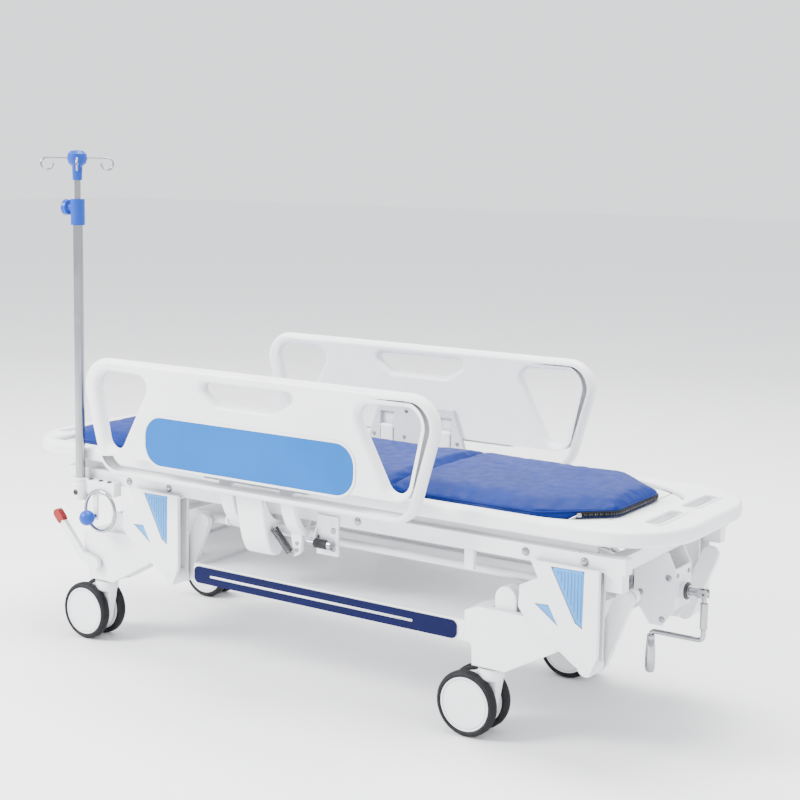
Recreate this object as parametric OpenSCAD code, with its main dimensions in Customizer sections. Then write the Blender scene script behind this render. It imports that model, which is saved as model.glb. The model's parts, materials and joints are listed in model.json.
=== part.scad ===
// Height-adjustable hospital stretcher trolley with folding side rails.
// +X points to the foot end, -Y to the near side, +Z up, and the floor is z = 0.

/* [Deck] */
// Length of the moulded deck
deck_l = 1896; // [1700:1:2300]
// Width of the moulded deck
deck_w = 570; // [540:1:620]
// Corner radius of the deck in plan
deck_r = 180; // [120:1:220]
// Height of the deck's rim above the floor, fully lowered
deck_top = 518; // [500:1:560]
// Height of the deck's rim from its lower to its upper edge
rim_h = 36; // [28:1:40]
// Width of the rim around the mattress recess
rim_w = 42; // [34:1:60]
// Depth of the mattress recess
recess_d = 14; // [8:1:18]
// Thickness of the backrest and foot panels
panel_t = 8; // [6:1:10]
// Distance from the middle of the rails to the backrest hinge
fold_x = 300; // [200:1:340]

/* [Mattress] */
// Gap between the mattress and each side of the recess
pad_side_gap = 12; // [8:1:40]
// Thickness of the mattress
pad_t = 40; // [30:1:60]
// Steepest angle of the backrest
back_deg = 75; // [60:1:80]

/* [Upper frame] */
// Distance from the deck's side to the middle of a side tube
tube_inset = 23; // [18:1:30]
// Width of a frame tube
tube_w = 30; // [25:1:34]
// Height of a frame tube
tube_h = 34; // [30:1:40]
// Wall thickness of a frame tube
tube_t = 2.5; // [2:0.1:4]

/* [Lift] */
// Length of a lift lever between its two pivots
lever_l = 238; // [220:1:250]
// Angle of the lever below the horizontal, fully lowered
lever_deg = 25.6; // [22:0.1:28]
// Height of the levers' pivots above the underside of the base
pivot_h = 160; // [150:1:170]
// Thickness of a lever's plate
lever_t = 16; // [12:1:20]
// Diameter of the lever pins
pin_d = 24; // [18:1:28]
// Radial clearance of every pin in its hole
pin_gap = 0.08; // [0.05:0.01:0.10]

/* [Casters] */
// Diameter of a caster wheel
wheel_d = 150; // [125:1:160]
// Width of one of a caster's two wheels
wheel_w = 28; // [24:1:32]
// Distance from the caster's swivel axis to its wheels' axle
caster_trail = 45; // [35:1:50]
// Distance between the front and rear swivel axes
wheelbase = 1180; // [1000:1:1400]
// Distance from the deck's side to the swivel axes
caster_inset = 45; // [38:1:50]

/* [Side rails] */
// Length of a side rail
rail_l = 1048; // [940:1:1250]
// Height of a side rail
rail_h = 291; // [270:1:330]
// Thickness of a side rail
rail_t = 36; // [30:1:40]
// Distance from the deck's side to the middle of a rail
rail_offset = 81; // [77:1:95]
// Width of a rail arm
arm_w = 40; // [30:1:50]
// Thickness of a rail arm
arm_t = 16; // [12:1:18]

/* [IV pole] */
// Height of the top of the IV pole above the floor, lowered
iv_top = 1286; // [1150:1:1400]
// Outer diameter of the IV pole's tube
iv_tube_d = 25; // [22:1:28]
// Diameter of the IV pole's inner rod
iv_rod_d = 16; // [12:1:18]

/* [Hidden] */
$fn = 64;
eps = 1;

// The rails, the wheels and the lift are centred ahead of the deck's middle.
mid_x = -62;

// Deck heights
deck_low = deck_top - rim_h;
recess_z = deck_top - recess_d;
panel_low = recess_z - panel_t;
fold_z = panel_low - 2;
flange_w = 20;
fold_gap = 12;
opening_w = deck_w - 2 * rim_w - 2 * flange_w;
knuckle_r = 9;
hinge_pin_r = 5;
recess_head_x = -790;
recess_foot_x = 880;
opening_head_x = -770;
opening_foot_x = 815;
slot_w = 32;
slot_l = 150;
slot_y = 96;
slot_x = [56 - deck_l / 2, deck_l / 2 - 82];
bolt_x = [-470, -335, 248, 689, 830];
strip_foot_x = 850;

// Upper frame
tube_y = deck_w / 2 - tube_inset;
tube_out = tube_y + tube_w / 2;
frame_top = panel_low - 34;
frame_low = frame_top - tube_h;
frame_head_x = -690;
frame_foot_x = 925;
cross_x = [-640, -210, 332, 700, 895];
post_x = 541;

// Underside of the base, just above the wheels
base_z = wheel_d + 15;

// Lift pivots, in the frame of the rails' middle
pivot_z = base_z + pivot_h;
stem_x = wheelbase / 2;
stem_y = deck_w / 2 - caster_inset;
base_pivot_x = stem_x + 40;
lever_gap = 1162;
tip_dx = lever_l * cos(lever_deg);
tip_dz = -lever_l * sin(lever_deg);
tip_x = base_pivot_x + tip_dx;
tip_z = pivot_z + tip_dz;
rod_dx = 58;
rod_dz = 142;
rod_z = tip_z + rod_dz;
lever_y = tube_out - 47;
ear_gap = 2;
ear_t = 8;
ear_r = 26;
ear_in = lever_y - lever_t / 2 - ear_gap - ear_t;
ear_out = lever_y + lever_t / 2 + ear_gap;
rod_y = 34 - lever_y;
tip_pin_r = pin_d / 2 - 2;
rod_r = 10;

// Base
base_out = max(stem_y + 30, lever_y + 40);
tray_top = base_z + 97;
tray_low = base_z + 49;
tray_head_x = -262;
tray_foot_x = 530;
narrow_out = lever_y - 40;
cover_t = 4;
chassis_y = stem_y - 90;
chassis_z = base_z + 57;
chassis_h = 36;
socket_r = 25;
socket_top = base_z + 75;
stem_r = 14;
stem_top = base_z + 27;
shoulder_low = base_z;
shoulder_top = base_z + 135;
soffit_z = tray_low - 14;
shoulder_in = stem_y - 55;
shoulder_head = -66;
shoulder_foot = 195;
shoulder_r = 24;
beam_reach = 70;
brake_z = base_z + 46;
brake_r = 6;

// Casters
wheel_r = wheel_d / 2;
hub_r = wheel_r - 13;
web_t = 24;
wheel_y = web_t / 2 + 4 + wheel_w / 2;
axle_r = 6;
fork_top = base_z - 5;

// V plates
plate_t = 10;
plate_in = tube_out + 10;
plate_left = 673;
plate_right = 874;
plate_top = frame_low + 6;

// Side rails
rail_low = 483;
rail_y = deck_w / 2 + rail_offset;
rail_in = rail_y - rail_t / 2;
arm_x = 92;
arm_low_y = tube_out - 1;
arm_low_z = 395;
arm_top_y = rail_in - 8;
arm_top_z = 545;
rail_cover_t = 12;
arm_pin_r = 7;
arm_tube_r = 11;
cheek_x = 134;
cheek_t = 6;
latch_plate_y = tube_out + 5;
latch_y = latch_plate_y + 12;
latch_z = 382;
latch_r = 9;
latch_pin_r = 5;

// Backrest gas springs
back_spring_x = 296;
hinge_y = opening_w / 2 - 47;
back_spring_y = hinge_y - 14;
back_spring_z = 445;
back_spring_l = 468;

// Crank
crank_z = 338;
screw_r = 9;
screw_head_x = 672;
nut_x = 802;
crank_joint_x = 985;
crank_drop = 106;
crank_throw = 124;
grip_l = 88;
crank_r = 6;

// IV pole
iv_x = -620;
iv_y = -tube_out - 25;
iv_low = frame_low - 34;
iv_clamp_z = 1140;
hook_l = 50;
hook_r = 2.5;
hook_bend = 15;

module placed() {
    translate([mid_x, 0, 0]) children();
}

// The children and their mirror image on the other side of the trolley
module both_sides() {
    children();
    mirror([0, 1, 0]) children();
}

// A round bar from one point to another along Y
module bar_y(x, z, y0, y1, r) {
    translate([x, y0, z]) rotate([-90, 0, 0]) cylinder(h = y1 - y0, r = r);
}

module bar_x(y, z, x0, x1, r) {
    translate([x0, y, z]) rotate([0, 90, 0]) cylinder(h = x1 - x0, r = r);
}

module bar_z(x, y, z0, z1, r) {
    translate([x, y, z0]) cylinder(h = z1 - z0, r = r);
}

// A prism across Y of a shape drawn in X and Z
module across(y0, y1) {
    translate([0, y1, 0]) rotate([90, 0, 0]) linear_extrude(y1 - y0) children();
}

module box(x0, x1, y0, y1, z0, z1) {
    translate([x0, y0, z0]) cube([x1 - x0, y1 - y0, z1 - z0]);
}

// A rectangle with round corners, built up so that its corners stay true arcs
module rounded(l, w, r) {
    square([l - 2 * r, w], center = true);
    square([l, w - 2 * r], center = true);
    for (sx = [-1, 1], sy = [-1, 1])
        translate([sx * (l / 2 - r), sy * (w / 2 - r)]) circle(r);
}

// A round bar of radius r between two points of the Y-Z plane, at x
module strut(x, y0, z0, y1, z1, r, from, to) {
    angle = atan2(z1 - z0, y1 - y0);
    translate([x, y0, z0]) rotate([angle, 0, 0]) rotate([-90, 0, 0])
        translate([0, 0, from]) cylinder(h = to - from, r = r);
}

// ---------------------------------------------------------------- base

module stem_socket(x, y) {
    difference() {
        bar_z(x, y, shoulder_low, socket_top, socket_r);
        bar_z(x, y, shoulder_low - eps, stem_top + 3, stem_r + pin_gap);
    }
}

// The pair of ears that holds one lift lever, on its block
module lever_ears(x) {
    box(x - 30, x + 8, ear_in, ear_out + ear_t, chassis_z - chassis_h / 2, pivot_z - 40);
    for (y = [ear_in, ear_out]) difference() {
        across(y, y + ear_t) {
            translate([x, pivot_z]) circle(ear_r);
            translate([x - ear_r, pivot_z - 60]) square([ear_r + 10, 60]);
        }
        bar_y(x, pivot_z, y - eps, y + ear_t + eps, pin_d / 2 + pin_gap);
    }
}

module base_frame() {
    color("lightgray") placed() difference() {
        both_sides() {
            box(-stem_x - 20, stem_x + 20, chassis_y - 15, chassis_y + 15,
                chassis_z - chassis_h / 2, chassis_z + chassis_h / 2);
            for (x = [-stem_x, stem_x]) {
                stem_socket(x, stem_y);
                box(x - 18, x + 18, 0, stem_y - socket_r + 4,
                    chassis_z + 8, chassis_z + chassis_h / 2);
            }
            for (x = [base_pivot_x - lever_gap, base_pivot_x]) {
                lever_ears(x);
                box(x - 30, x + 8, chassis_y, ear_in + eps,
                    chassis_z - chassis_h / 2, chassis_z + chassis_h / 2);
            }
        }
        bar_y(-stem_x, brake_z, -base_out, base_out, brake_r + pin_gap);
    }
}

// Side outline of an end shoulder, with the swivel axis at x = 0
module shoulder_outline() {
    polygon([[-34, shoulder_low], [50, shoulder_low], [shoulder_foot, shoulder_low + 80],
        [shoulder_foot, shoulder_top - 14], [shoulder_foot - 25, shoulder_top], [-22, shoulder_top],
        [-56, shoulder_top - 14], [shoulder_head, shoulder_top - 24], [-62, shoulder_top - 42],
        [-44, shoulder_low + 66], [-36, shoulder_low + 40]]);
}

// A shoulder drawn in by a margin, with its outer corners rounded in plan
module shoulder_block(margin) {
    intersection() {
        across(shoulder_in + margin, base_out - margin) offset(delta = -margin) shoulder_outline();
        linear_extrude(shoulder_top + 10) shoulder_plan(shoulder_r - margin, margin);
    }
}

// Plan of a shoulder, with its outer corners turned in four flats
module shoulder_plan(r, margin) {
    polygon(concat(
        [[shoulder_head + margin, shoulder_in + margin]],
        [for (a = [180:-22.5:90])
            [shoulder_head + shoulder_r + r * cos(a), base_out - shoulder_r + r * sin(a)]],
        [for (a = [90:-22.5:0])
            [shoulder_foot - shoulder_r + r * cos(a), base_out - shoulder_r + r * sin(a)]],
        [[shoulder_foot - margin, shoulder_in + margin]]));
}

// One hollow shoulder, open over the swivel socket and slotted for the lift lever
module shoulder(x) {
    translate([x, 0, 0]) difference() {
        shoulder_block(0);
        shoulder_block(cover_t);
        box(-40, 60, stem_y - socket_r - 1, base_out - cover_t, shoulder_low - 5, shoulder_low + 20);
        box(5, 62 + ear_r, ear_in - 2, ear_out + ear_t + 2, soffit_z, shoulder_top + eps);
        box(5, 200, ear_in + ear_t, ear_out, shoulder_low - 5, shoulder_top + eps);
    }
}

// A tray section as a shell that is open underneath, with its foot end's thickness and its sunken floor's end
module tray(x0, x1, out, end_t, floor_end) {
    difference() {
        box(x0, x1, -out, out, tray_low, tray_top);
        box(x0 + cover_t, x1 - end_t, -out + cover_t, out - cover_t, tray_low - eps, tray_top - 12);
        box(x0 + 10, floor_end, -out + 10, out - 10, tray_top - 8, tray_top + eps);
    }
}

// Room inside the cover for the chassis and the brake shaft
module chassis_room() {
    both_sides() {
        box(-stem_x - 21, stem_x + 21, chassis_y - 16, chassis_y + 16, soffit_z, chassis_z + chassis_h / 2 + 1);
        for (x = [-stem_x, stem_x])
            box(x - 19, x + 68, 0, stem_y - socket_r, soffit_z, chassis_z + chassis_h / 2 + 1);
    }
    bar_y(-stem_x, brake_z, -base_out - eps, base_out + eps, brake_r + 3);
}

module base_cover() {
    color("white") placed() difference() {
        cover_shells();
        chassis_room();
    }
}

// The wide tray, the narrow tray between the head levers, four shoulders and two end beams
module cover_shells() {
    tray(tray_head_x, tray_foot_x + 22, base_out - 4, -eps, stem_x - beam_reach);
    tray(base_pivot_x - lever_gap + 60, tray_head_x + cover_t, narrow_out - 5, cover_t, tray_head_x - 6);
    both_sides() for (x = [-stem_x, stem_x]) shoulder(x);
    for (x = [-stem_x, stem_x]) difference() {
        box(x - beam_reach, x + 130, -shoulder_in - eps, shoulder_in + eps, tray_low, tray_top);
        box(x - beam_reach + cover_t, x + 126, -shoulder_in - 3, shoulder_in + 3, tray_low - eps, tray_top - cover_t);
    }
}

// Coloured strip along each side of the tray, with round ends
module base_trims() {
    color("midnightblue") placed() both_sides()
        across(base_out - 4, base_out - 1)
            translate([(tray_head_x + tray_foot_x - 12) / 2, (tray_low + tray_top - 4) / 2])
                rounded(tray_foot_x - tray_head_x - 20, tray_top - tray_low - 6, 14);
}

module lever_pins() {
    color("silver") placed() both_sides()
        for (x = [base_pivot_x - lever_gap, base_pivot_x]) {
            bar_y(x, pivot_z, ear_in - 4, ear_out + ear_t + 1, pin_d / 2);
            bar_y(x, pivot_z, ear_out + ear_t + 1, ear_out + ear_t + 4, pin_d / 2 + 4);
        }
}

// ---------------------------------------------------------------- casters

module at_caster(sx, sy) {
    placed() translate([sx * stem_x, sy * stem_y, 0]) children();
}

// Swivel stem, hood and the web between the two wheels
module caster_body(sx, sy) {
    color("white") at_caster(sx, sy) {
        bar_z(0, 0, fork_top - 6, stem_top, stem_r);
        bar_z(0, 0, wheel_d + 2, fork_top, 27);
        difference() {
            across(-web_t / 2, web_t / 2) hull() {
                translate([-6, wheel_d - 14]) circle(24);
                translate([-caster_trail, wheel_r]) circle(hub_r - 3);
                translate([14, wheel_d - 8]) circle(12);
            }
            bar_y(-caster_trail, wheel_r, -web_t, web_t, axle_r + pin_gap);
        }
    }
}

// The two wheels' hubs, joined by their axle
module caster_wheels(sx, sy) {
    color("gainsboro") at_caster(sx, sy) translate([-caster_trail, 0, wheel_r]) rotate([-90, 0, 0])
        rotate_extrude($fn = 96) polygon([
            [0, -wheel_y - wheel_w / 2 + 3], [hub_r - 12, -wheel_y - wheel_w / 2 + 1],
            [hub_r, -wheel_y - wheel_w / 2 + 5], [hub_r, -wheel_y + wheel_w / 2 - 1],
            [axle_r, -wheel_y + wheel_w / 2 - 1], [axle_r, wheel_y - wheel_w / 2 + 1],
            [hub_r, wheel_y - wheel_w / 2 + 1], [hub_r, wheel_y + wheel_w / 2 - 5],
            [hub_r - 12, wheel_y + wheel_w / 2 - 1], [0, wheel_y + wheel_w / 2 - 3]]);
}

module tyre_ring() {
    rotate_extrude($fn = 96) polygon([
        [hub_r, -wheel_w / 2 + 2], [wheel_r - 9, -wheel_w / 2], [wheel_r - 2, -wheel_w / 2 + 5],
        [wheel_r, -wheel_w / 2 + 10], [wheel_r, wheel_w / 2 - 10], [wheel_r - 2, wheel_w / 2 - 5],
        [wheel_r - 9, wheel_w / 2], [hub_r, wheel_w / 2 - 2]]);
}

module caster_tyres(sx, sy) {
    color("dimgray") at_caster(sx, sy) for (y = [-wheel_y, wheel_y])
        translate([-caster_trail, y, wheel_r]) rotate([-90, 0, 0]) tyre_ring();
}

// ---------------------------------------------------------------- brake

// Hex-driven shaft through both head casters, with a pedal on the near side
module pedal_arm() {
    hull() {
        translate([-stem_x - 44, brake_z + 16]) circle(11);
        translate([-stem_x - 112, brake_z + 92]) circle(9);
    }
}

module brake_pedal() {
    color("whitesmoke") placed() {
        bar_y(-stem_x, brake_z, -base_out - 6, base_out + 6, brake_r);
        across(-base_out - 18, -base_out - 6) {
            hull() {
                translate([-stem_x, brake_z]) circle(16);
                translate([-stem_x - 44, brake_z + 16]) circle(11);
            }
            pedal_arm();
        }
    }
}

module brake_pedal_tip() {
    color("indianred") placed() {
        across(-base_out - 20, -base_out - 4) difference() {
            hull() {
                translate([-stem_x - 122, brake_z + 103]) circle(12);
                translate([-stem_x - 134, brake_z + 116]) circle(12);
            }
            pedal_arm();
        }
    }
}

// ---------------------------------------------------------------- lift

// Outline of a bell-crank plate about its base pivot
module lever_outline() {
    hull() {
        circle(26);
        translate([tip_dx, tip_dz]) circle(22);
    }
    hull() {
        translate([tip_dx, tip_dz]) circle(22);
        translate([tip_dx + rod_dx, tip_dz + rod_dz]) circle(20);
    }
}

// Two plates joined by a torque tube, with pins at the tips
module lift_lever(x) {
    color("white") placed() translate([x, 0, pivot_z]) {
        both_sides() difference() {
            across(lever_y - lever_t / 2, lever_y + lever_t / 2) lever_outline();
            bar_y(0, 0, lever_y - lever_t, lever_y + lever_t, pin_d / 2 + pin_gap);
        }
        bar_y(0, 0, -ear_in + 7, ear_in - 7, 18);
        both_sides() {
            across(ear_in - 20, ear_in - 6) hull() {
                circle(20);
                translate([40, 0]) circle(11);
            }
            bar_y(40, 0, ear_in - 12, lever_y - lever_t / 2 + eps, 9);
        }
        both_sides() bar_y(tip_dx, tip_dz, lever_y, plate_in + plate_t, tip_pin_r);
        bar_y(tip_dx + rod_dx, tip_dz + rod_dz, -lever_y, rod_y + 12, 8);
    }
}

module lift_lever_foot() { lift_lever(base_pivot_x); }
module lift_lever_head() { lift_lever(base_pivot_x - lever_gap); }

// Tie rod that makes both levers turn together
module pull_rod() {
    color("silver") placed() {
        x1 = tip_x + rod_dx;
        x0 = x1 - lever_gap;
        difference() {
            union() {
                bar_x(rod_y, rod_z, x0, x1, rod_r);
                for (x = [x0, x1]) bar_y(x, rod_z, rod_y - 10, rod_y + 10, 15);
            }
            for (x = [x0, x1]) bar_y(x, rod_z, rod_y - 14, rod_y + 14, 8 + pin_gap);
        }
    }
}

// ---------------------------------------------------------------- V plates

// Outline of a V plate in the foot position
module plate_outline() {
    offset(delta = 12) offset(delta = -12) union() {
        polygon([[plate_left + 40, plate_top], [plate_right, plate_top], [plate_right, tip_z + 28],
            [tip_x + 12, tip_z - 14], [tip_x - 24, tip_z + 2], [plate_left + 24, plate_top - 122],
            [plate_left + 12, plate_top - 106], [plate_left + 14, plate_top - 58],
            [plate_left + 58, plate_top - 36]]);
    }
}

module insert_big() {
    polygon([[plate_left + 88, plate_top - 6], [plate_right - 34, plate_top - 5],
        [plate_right - 36, plate_top - 128], [plate_right - 53, plate_top - 118]]);
}

module insert_small() {
    polygon([[plate_left + 52, plate_top - 92], [plate_left + 84, plate_top - 90],
        [plate_left + 108, plate_top - 132]]);
}

module v_plates(dx) {
    color("white") placed() translate([dx, 0, 0]) both_sides() {
        difference() {
            across(plate_in, plate_in + plate_t) plate_outline();
            across(plate_in + 2, plate_in + plate_t + eps) offset(delta = 0.3) {
                insert_big();
                insert_small();
            }
            bar_y(tip_x, tip_z, plate_in - eps, plate_in + plate_t + eps, tip_pin_r + pin_gap);
        }
        difference() {
            bar_y(tip_x, tip_z, ear_out + 4, plate_in + eps, 21);
            bar_y(tip_x, tip_z, ear_out, plate_in + 2, tip_pin_r + pin_gap);
        }
        difference() {
            across(ear_out + 6, ear_out + 14) polygon([[tip_x - 130, frame_low], [tip_x + 22, frame_low],
                [tip_x + 20, tip_z], [tip_x - 20, tip_z]]);
            bar_y(tip_x, tip_z, ear_out, ear_out + 20, tip_pin_r + pin_gap);
        }
        across(ear_out + 6, plate_in + eps)
            translate([tip_x - 130, frame_low - 6]) square([150, 6]);
    }
}

module v_plates_foot() { v_plates(0); }
module v_plates_head() { v_plates(-lever_gap); }

module v_inserts() {
    color("skyblue") placed() for (dx = [0, -lever_gap]) translate([dx, 0, 0]) both_sides() {
        across(plate_in + 2, plate_in + plate_t - 1.5) insert_big();
        across(plate_in + 2, plate_in + plate_t - 1.5) insert_small();
    }
}

// ---------------------------------------------------------------- upper frame

module tube_along_x(x0, x1, y) {
    difference() {
        box(x0, x1, y - tube_w / 2, y + tube_w / 2, frame_low, frame_top);
        box(x0 + 3, x1 - 3, y - tube_w / 2 + tube_t, y + tube_w / 2 - tube_t,
            frame_low + tube_t, frame_top - tube_t);
    }
}

module tube_along_y(x) {
    difference() {
        box(x - tube_w / 2, x + tube_w / 2, -tube_y, tube_y, frame_low, frame_top);
        box(x - tube_w / 2 + tube_t, x + tube_w / 2 - tube_t, -tube_y - eps, tube_y + eps,
            frame_low + tube_t, frame_top - tube_t);
    }
}

// Bracket below a side tube that carries a rail's arms and its catch
module rail_bracket() {
    difference() {
        union() {
            for (x = [-cheek_x, cheek_x])
                translate([x - cheek_t / 2, 0, 0]) rotate([90, 0, 90]) linear_extrude(cheek_t) hull() {
                    translate([tube_y - 10, frame_low - 2]) square([24, 4]);
                    translate([arm_low_y, arm_low_z]) circle(16);
                }
            box(cheek_x, cheek_x + 62, tube_out - 1, latch_plate_y, latch_z - 28, frame_low + 20);
        }
        bar_x(arm_low_y, arm_low_z, -cheek_x - cheek_t, cheek_x + cheek_t + 2, arm_pin_r + pin_gap);
        for (z = [latch_z - 10, latch_z + 32])
            bar_y(cheek_x + 48, z, tube_out - 2, latch_plate_y + 1, 8);
    }
}

module upper_frame() {
    color("whitesmoke") placed() {
        for (s = [-1, 1]) tube_along_x(frame_head_x, frame_foot_x, s * tube_y);
        difference() {
            for (x = cross_x) tube_along_y(x);
            for (s = [-1, 1]) box(frame_head_x, frame_foot_x, s * tube_y - tube_w / 2 + tube_t,
                s * tube_y + tube_w / 2 - tube_t, frame_low + tube_t, frame_top - tube_t);
        }
        both_sides() {
            box(876, 918, tube_y - tube_w / 2, tube_y + tube_w / 2, rod_z + 26, frame_low + eps);
            box(post_x - 12, post_x + 12, tube_y - 8, tube_y + 4, rod_z + 15, frame_low + eps);
            rail_bracket();
            difference() {
                union() {
                    box(fold_x - 8, fold_x + 24, hinge_y, hinge_y + 6, frame_low + 10, fold_z);
                    bar_y(fold_x, fold_z, hinge_y, hinge_y + 6, 8);
                }
                bar_y(fold_x, fold_z, hinge_y - 2, hinge_y + 8, hinge_pin_r + pin_gap);
            }
            difference() {
                box(back_spring_x - 12, 320, back_spring_y - 18, back_spring_y - 13, frame_low, frame_top);
                bar_y(back_spring_x, back_spring_z, back_spring_y - 20, back_spring_y, 4 + pin_gap);
            }
        }
    }
}

// ---------------------------------------------------------------- deck

// Rounded deck outline drawn back from its edge by a margin
module deck_outline(margin) {
    rounded(deck_l - 2 * margin, deck_w - 2 * margin, deck_r - margin);
}

module deck_opening() {
    translate([mid_x + opening_head_x, -opening_w / 2])
        square([opening_foot_x - opening_head_x, opening_w]);
}

// The four hand slots, grown by a margin
module grip_slots(margin) {
    for (x = slot_x, s = [-1, 1]) translate([x, s * slot_y])
        rounded(slot_w + 2 * margin, slot_l + 2 * margin, slot_w / 2 - 2 + margin);
}

module deck_surround() {
    color("white") difference() {
        union() {
            translate([0, 0, deck_low + 5]) linear_extrude(rim_h - 9) deck_outline(0);
            translate([0, 0, deck_low]) linear_extrude(6) deck_outline(5);
            translate([0, 0, deck_top - 5]) linear_extrude(5) deck_outline(4);
        }
        translate([0, 0, deck_low - eps]) linear_extrude(panel_low + eps - deck_low) difference() {
            deck_outline(rim_w - 16);
            grip_slots(6);
        }
        translate([0, 0, recess_z]) linear_extrude(recess_d + eps) intersection() {
            deck_outline(rim_w);
            translate([mid_x + recess_head_x, -deck_w])
                square([recess_foot_x - recess_head_x, 2 * deck_w]);
        }
        translate([0, 0, deck_low - eps]) linear_extrude(rim_h + 2 * eps) {
            deck_opening();
            grip_slots(0);
        }
    }
}

module foot_panel() {
    color("white") placed() difference() {
        union() {
            box(fold_x + fold_gap, opening_foot_x - 1, -opening_w / 2 + 1, opening_w / 2 - 1,
                panel_low, recess_z);
            both_sides() for (x = [cross_x[2], cross_x[3]])
                box(x - 12, x + 12, 90, 114, frame_top, panel_low + eps);
        }
        both_sides() box(fold_x, fold_x + 28, hinge_y - 2, hinge_y + 8, panel_low - eps, recess_z + eps);
    }
}

module backrest_panel() {
    color("white") placed() difference() {
        union() {
            box(opening_head_x + 2, fold_x - fold_gap, -opening_w / 2 + 2, opening_w / 2 - 2,
                panel_low, recess_z);
            both_sides() {
                box(-700, fold_x - 30, hinge_y + 10, hinge_y + 30, panel_low - 14, panel_low + eps);
                across(hinge_y + 10, hinge_y + 30) hull() {
                    translate([fold_x, fold_z]) circle(knuckle_r);
                    translate([fold_x - 60, panel_low - 14]) square([20, 18]);
                }
                box(back_spring_x - back_spring_l - 14, back_spring_x - back_spring_l + 14,
                    back_spring_y - 13, back_spring_y - 8, back_spring_z - 10, panel_low + eps);
                for (x = [cross_x[0], cross_x[1]]) box(x - 12, x + 12, 90, 114, frame_top, panel_low + eps);
            }
        }
        both_sides() bar_y(fold_x, fold_z, hinge_y + 4, hinge_y + 34, hinge_pin_r + pin_gap);
        both_sides() box(fold_x - 32, fold_x, hinge_y - 2, hinge_y + 8, panel_low - eps, recess_z + eps);
    }
}

module backrest_hinge_pins() {
    color("silver") placed() both_sides() bar_y(fold_x, fold_z, hinge_y - 6, hinge_y + 34, hinge_pin_r);
}

// Gas springs that lift the backrest: tubes at the foot end, rods at the head end
module backrest_spring_tube() {
    color("dimgray") placed() both_sides() {
        bar_y(back_spring_x, back_spring_z, back_spring_y - 19, back_spring_y + 6, 4);
        difference() {
            union() {
                bar_y(back_spring_x, back_spring_z, back_spring_y - 8, back_spring_y + 8, 10);
                bar_x(back_spring_y, back_spring_z, back_spring_x - 270, back_spring_x - 4, 11.5);
            }
            bar_x(back_spring_y, back_spring_z, back_spring_x - 280, back_spring_x - 24, 5 + pin_gap);
        }
    }
}

module backrest_spring_rod() {
    color("silver") placed() both_sides() {
        bar_x(back_spring_y, back_spring_z, back_spring_x - back_spring_l, back_spring_x - 180, 5);
        bar_y(back_spring_x - back_spring_l, back_spring_z, back_spring_y - 6, back_spring_y + 6, 9);
    }
}

// Strip between each side tube and the deck
module deck_spacers() {
    color("white") placed() both_sides()
        box(frame_head_x + 10, strip_foot_x, tube_y - tube_w / 2, deck_w / 2 - rim_w + 14, frame_top, panel_low);
}

// Dome-headed bolts in the side tubes
module frame_bolts() {
    color("silver") placed() both_sides() for (x = bolt_x)
        translate([x, tube_out, frame_low + tube_h / 2]) rotate([-90, 0, 0])
            rotate_extrude() polygon([[0, 0], [9, 0], [9, 2], [6, 5], [0, 6]]);
}

// ---------------------------------------------------------------- mattress

// Wedge clearance at the fold, so that the two pads meet when the backrest is up
fold_slope = tan(back_deg / 2);
pad_head_x = recess_head_x + 8;
pad_foot_x = 820;
pad_gap = 0.2;
pad_w = deck_w - 2 * rim_w - 2 * pad_side_gap;
pad_foot_y = pad_w / 2 - 126;
pad_head_y = pad_w / 2 - 81;

module pad_foot_outline() {
    polygon([[fold_x, -pad_w / 2], [pad_foot_x - 130, -pad_w / 2],
        [pad_foot_x, -pad_foot_y], [pad_foot_x, pad_foot_y],
        [pad_foot_x - 130, pad_w / 2], [fold_x, pad_w / 2]]);
}

module pad_back_outline() {
    polygon([[fold_x, -pad_w / 2], [pad_head_x + 82, -pad_w / 2],
        [pad_head_x, -pad_head_y], [pad_head_x, pad_head_y],
        [pad_head_x + 82, pad_w / 2], [fold_x, pad_w / 2]]);
}

module fold_wedge(s) {
    across(-pad_w, pad_w) polygon([[fold_x, fold_z], [fold_x + s * 3, fold_z],
        [fold_x + s * (3 + fold_slope * (pad_t + 20)), fold_z + pad_t + 20],
        [fold_x - s * 200, fold_z + pad_t + 20], [fold_x - s * 200, fold_z]]);
}

module mattress_foot() {
    color("royalblue") placed() difference() {
        translate([0, 0, recess_z + pad_gap]) linear_extrude(pad_t) pad_foot_outline();
        fold_wedge(1);
    }
}

module mattress_back() {
    color("royalblue") placed() difference() {
        translate([0, 0, recess_z + pad_gap]) linear_extrude(pad_t) pad_back_outline();
        fold_wedge(-1);
    }
}

// ---------------------------------------------------------------- crank

module crank_bracket() {
    color("silver") placed() {
        for (y = [-44, 40]) across(y, y + 4) polygon([[836, frame_low], [915, frame_low],
            [933, 392], [933, 300], [905, 262], [876, 262], [836, 318]]);
        difference() {
            box(929, 933, -41, 41, 300, 392);
            bar_x(0, crank_z, 920, 940, screw_r + pin_gap);
        }
        difference() {
            bar_x(0, crank_z, 932, 942, 17);
            bar_x(0, crank_z, 920, 950, screw_r + pin_gap);
        }
        difference() {
            box(836, 840, -41, 41, 318, frame_low);
            bar_x(0, crank_z, 830, 850, screw_r + 3);
        }
    }
}

module lift_screw() {
    color("silver") placed() difference() {
        union() {
            bar_x(0, crank_z, screw_head_x, crank_joint_x - 12, screw_r);
            bar_x(0, crank_z, 942.5, 950, 14);
            box(crank_joint_x - 16, crank_joint_x + 8, -9, 9, crank_z - 9, crank_z + 9);
        }
        box(crank_joint_x - 9, crank_joint_x + 9, -5, 5, crank_z - 20, crank_z + 20);
        bar_y(crank_joint_x, crank_z, -10, 10, 3 + pin_gap);
    }
}

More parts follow.
